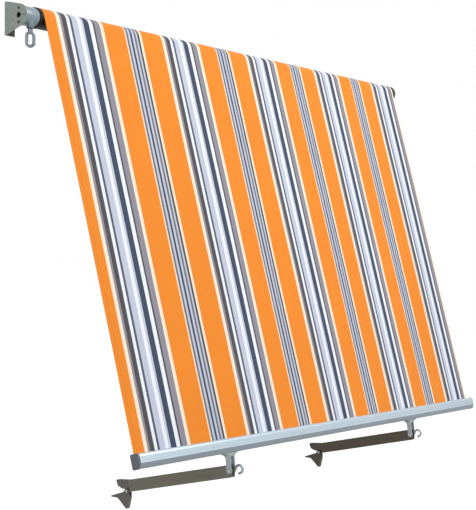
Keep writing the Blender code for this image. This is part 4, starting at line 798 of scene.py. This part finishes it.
# %% Round what shows
ROUNDED_PIECES = [
    ("connector_left", "cast_connector_left", 0.0010, "bar", "zinc"),
    ("connector_right", "cast_connector_right", 0.0010, "bar", "zinc"),
    ("front_bar", "extruded_bar", 0.0005, "bar", "bar_aluminium"),
    ("bar_cap_left", "moulded_cap_left", 0.0014, "bar", "grey_plastic"),
    ("bar_cap_right", "moulded_cap_right", 0.0014, "bar", "grey_plastic"),
    ("arm_left", "pressed_arm_left", 0.0005, "arm_left", "arm_bronze"),
    ("arm_right", "pressed_arm_right", 0.0005, "arm_right", "arm_bronze"),
    ("upper_jaw_left", "cast_beak_left", 0.0012, "arm_left", "clamp_casting"),
    ("upper_jaw_right", "cast_beak_right", 0.0012, "arm_right", "clamp_casting"),
    ("lower_jaw_left", "cast_lever_left", 0.0012, "jaw_left", "clamp_casting"),
    ("lower_jaw_right", "cast_lever_right", 0.0012, "jaw_right", "clamp_casting"),
    ("wall_bracket_left", "pressed_bracket_left", 0.0006, "wall_frame", "bracket_paint"),
    ("wall_bracket_right", "pressed_bracket_right", 0.0006, "wall_frame", "bracket_paint"),
    ("gear_housing", "moulded_drum", 0.0008, "wall_frame", "drum_paint"),
    ("gear_cover", "moulded_drum_cover", 0.0006, "wall_frame", "drum_paint"),
]
for node, name, radius, body, slot in ROUNDED_PIECES:
    piece = rounded_copy(node, name, radius, body)
    print(name, "has", len(piece.data.polygons), "faces")

# %% [markdown]
# # The bar's lower band and its end caps
#
# The bar's front is polished before it is anodised, but the narrow band that slants back under it is left
# as it comes from the die, so it stays rougher. Its colour is darker too, and that darker colour is
# painted shade on a face that looks down. That is one body with two finishes: the band's faces are picked
# by the direction they face, and only they get the second material.

# %% A rougher band with painted shade under the front
BAND_LEAN = 0.30


def pick_faces(piece, wanted):
    """Selects the faces of a piece for which wanted(normal, centre) is true, in edit mode."""
    choose(piece)
    bpy.ops.object.mode_set(mode="EDIT")
    bpy.ops.mesh.select_mode(type="FACE")
    bpy.ops.mesh.select_all(action="DESELECT")
    bpy.ops.object.mode_set(mode="OBJECT")
    count = 0
    for face in piece.data.polygons:
        face.select = wanted(face.normal, face.center)
        count += face.select
    bpy.ops.object.mode_set(mode="EDIT")
    return count


def faces_the_band(normal, centre):
    """True for faces that look forward and down across the bar."""
    across = BAR_FRAME.to_3x3().transposed() @ normal
    return across.y < -BAND_LEAN and across.z < -BAND_LEAN


# The band's faces get the rougher copy, whose darker colour is painted shade.
extruded_bar = bpy.data.objects["extruded_bar"]
extruded_bar.data.materials.append(painted_shade_aluminium)
band_faces = pick_faces(extruded_bar, faces_the_band)
extruded_bar.active_material_index = len(extruded_bar.data.materials) - 1
bpy.ops.object.material_slot_assign()
bpy.ops.object.mode_set(mode="OBJECT")
print("the duller band has", band_faces, "faces")

# %% [markdown]
# The caps are moulded, and the mould gives their outer face a shallow dome. The dome is made as by hand:
# the outer face is picked, extruded outwards by a little and drawn in towards its middle, three times
# over. Each step rises less and draws in more than the one before, so that together they follow a curve.

# %% Domed faces on the caps
DOME_STEPS = ((0.0014, 0.90), (0.0008, 0.82), (0.0003, 0.70))
SQUARE_ON = 0.999


def dome(piece, outward):
    """Raises the outer face of a cap; outward is -1 on the left and 1 on the right."""
    corners = [vertex.co.copy() for vertex in piece.data.vertices]
    middle = sum(corners, Vector()) / len(corners)
    pick_faces(piece, lambda normal, centre: normal.x * outward > SQUARE_ON and
               (centre.x - middle.x) * outward > 0)
    for rise, draw_in in DOME_STEPS:
        bpy.ops.mesh.extrude_region_move(TRANSFORM_OT_translate={"value": (outward * rise, 0.0, 0.0)})
        bpy.ops.transform.resize(value=(1.0, draw_in, draw_in), center_override=middle)
    bpy.ops.object.mode_set(mode="OBJECT")
    bpy.ops.object.shade_smooth_by_angle(angle=SHARP_ANGLE)
    print(piece.name, "now has", len(piece.data.polygons), "faces")


dome(bpy.data.objects["moulded_cap_left"], -1)
dome(bpy.data.objects["moulded_cap_right"], 1)

# %% [markdown]
# # The crank eye
#
# The eye is forged from round bar: a thick oval ring under a short neck, with a soft fillet where they
# meet. A torus pulled apart at its middle gives the oval, and a cylinder gives the neck. Merging two
# solids with a boolean would leave a sharp line between them. So they are joined and remeshed into one
# skin instead, and a few rounds of smoothing turn the line into a fillet.

# %% Where the eye hangs
EYE_TURN = math.radians(-33.0)
EYE_WIDTH = 0.034
EYE_HEIGHT = 0.054
EYE_BAR = 0.0052
NECK_RADIUS = 0.0076
RING_SEGMENTS = 40
RING_SIDES = 20
NECK_SIDES = 40
eye_low, eye_high = [Vector(corner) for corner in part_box("crank_eye")]
eye_middle = (eye_low + eye_high) / 2
ring_centre = Vector((eye_middle.x, eye_middle.y, eye_low.z + EYE_HEIGHT / 2))
print("the eye hangs from", round(eye_high.z, 4), "to", round(eye_low.z, 4))

# %% [markdown]
# In edit mode the upper half of the torus is moved up and the lower half down. The faces between them
# stretch into the straight sides of the oval.

# %% Ring and neck
def pull_apart(ring, centre, reach):
    """Moves the upper half of a ring up and the lower half down by the same reach."""
    for side in (1, -1):
        bpy.ops.object.mode_set(mode="EDIT")
        bpy.ops.mesh.select_mode(type="VERT")
        bpy.ops.mesh.select_all(action="DESELECT")
        bpy.ops.object.mode_set(mode="OBJECT")
        for vertex in ring.data.vertices:
            height = (ring.matrix_world @ vertex.co).z - centre.z
            vertex.select = height * side > MERGE_DISTANCE
        bpy.ops.object.mode_set(mode="EDIT")
        bpy.ops.transform.translate(value=(0.0, 0.0, side * reach))
        bpy.ops.object.mode_set(mode="OBJECT")


def forge_eye():
    """The oval ring and its neck as one smooth skin."""
    choose_nothing()
    bpy.ops.mesh.primitive_torus_add(location=ring_centre, rotation=(math.pi / 2, 0.0, EYE_TURN),
                                     major_radius=EYE_WIDTH / 2 - EYE_BAR, minor_radius=EYE_BAR,
                                     major_segments=RING_SEGMENTS, minor_segments=RING_SIDES)
    ring = bpy.context.object
    pull_apart(ring, ring_centre, (EYE_HEIGHT - EYE_WIDTH) / 2)
    neck_low = eye_low.z + EYE_HEIGHT - EYE_BAR
    neck_place = Vector((eye_middle.x, eye_middle.y, (eye_high.z + neck_low) / 2))
    choose_nothing()
    bpy.ops.mesh.primitive_cylinder_add(location=neck_place, radius=NECK_RADIUS,
                                        depth=eye_high.z - neck_low, vertices=NECK_SIDES)
    neck = bpy.context.object
    ring.select_set(True)
    bpy.context.view_layer.objects.active = ring
    bpy.ops.object.join()
    ring.name = "forged_eye"
    settle_place(ring)
    return ring


forged_eye = forge_eye()
print("ring and neck", len(forged_eye.data.polygons), "faces")

# %% [markdown]
# The remesh voxel is well under a millimetre, so the ring keeps its roundness. The smoothing that follows
# only has to melt the corner between ring and neck.

# %% One skin
EYE_VOXEL = 0.0008
MELT_SHARE = 0.5
MELT_ROUNDS = 6
skin = forged_eye.modifiers.new("skin", "REMESH")
skin.mode = "VOXEL"
skin.voxel_size = EYE_VOXEL
skin.use_smooth_shade = True
melt = forged_eye.modifiers.new("melt", "SMOOTH")
melt.factor = MELT_SHARE
melt.iterations = MELT_ROUNDS
for modifier in (skin, melt):
    bpy.ops.object.modifier_apply(modifier=modifier.name)
forged_eye.data.materials.clear()
forged_eye.data.materials.append(eye_plating)
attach(forged_eye, "crank")
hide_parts("crank_eye")
print("forged eye", len(forged_eye.data.polygons), "faces")

# %% [markdown]
# # The open hooks
#
# Beside each fork the casting ends in an open hook, which takes the end of a strap when the awning is
# lashed down. The engineering model has a thin round one. The cast hook is fuller, and its free end is
# blunt, and the left hook is a little thicker than the right one. It is a ring profile spun round the
# hook's middle by less than a whole turn. It is drawn in the bar's own upright frame, where the turn lies
# in a plain plane, and is set in its slanted place after.

# %% Hook sizes, in the bar's frame
LEFT_INSET = 0.495
RIGHT_INSET = 0.584
LEFT_HOOK_BAR = 0.0046
RIGHT_HOOK_BAR = 0.0039
CONNECTORS = (("left", CLOTH_START + LEFT_INSET, LEFT_HOOK_BAR),
              ("right", CLOTH_END - RIGHT_INSET, RIGHT_HOOK_BAR))
PIN_HEIGHT = -0.108
HOOK_FRONT = -0.0228
HOOK_ASIDE = 0.0138
HOOK_BEND = 0.0134
CAD_HOOK_BAR = 0.0036
HOOK_TURN = math.radians(286)
HOOK_STEPS = 28
PROFILE_SIDES = 20
BLUNT = 0.0012
BLUNT_SEGMENTS = 3
RIM_ANGLE = math.radians(60)

# %% [markdown]
# The profile is an open circle, so the spin makes a tube. Its two ends are then filled, and a bevel on
# the sharp rims blunts them.

# %% Spin the hooks
def cast_hook(name, middle, bar):
    """One open hook with the given bar radius, at the connector's middle in X."""
    swell = bar - CAD_HOOK_BAR
    centre = Vector((middle + HOOK_ASIDE + swell, HOOK_FRONT - swell, PIN_HEIGHT))
    choose_nothing()
    bpy.ops.mesh.primitive_circle_add(vertices=PROFILE_SIDES, radius=bar, fill_type="NOTHING",
                                      location=centre + Vector((0.0, HOOK_BEND, 0.0)))
    hook = bpy.context.object
    hook.name = name
    settle_place(hook)
    bpy.ops.object.mode_set(mode="EDIT")
    bpy.ops.mesh.select_all(action="SELECT")
    bpy.ops.mesh.spin(steps=HOOK_STEPS, angle=-HOOK_TURN, center=centre, axis=(1.0, 0.0, 0.0))
    bpy.ops.mesh.select_all(action="SELECT")
    bpy.ops.mesh.fill_holes(sides=0)
    bpy.ops.mesh.normals_make_consistent(inside=False)
    bpy.ops.object.mode_set(mode="OBJECT")
    rims = hook.modifiers.new("rims", "BEVEL")
    rims.width = BLUNT
    rims.segments = BLUNT_SEGMENTS
    rims.limit_method = "ANGLE"
    rims.angle_limit = RIM_ANGLE
    bpy.ops.object.modifier_apply(modifier=rims.name)
    hook.matrix_world = BAR_FRAME
    settle_place(hook)
    bpy.ops.object.shade_smooth_by_angle(angle=SHARP_ANGLE)
    hook.data.materials.append(cast_zinc)
    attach(hook, "bar")
    return hook


for side, middle, bar in CONNECTORS:
    hook = cast_hook("cast_hook_" + side, middle, bar)
    reach = [hook.matrix_world @ vertex.co for vertex in hook.data.vertices]
    print(hook.name, "lies", round(min(point.z for point in reach), 4), "to",
          round(max(point.z for point in reach), 4), "in height")
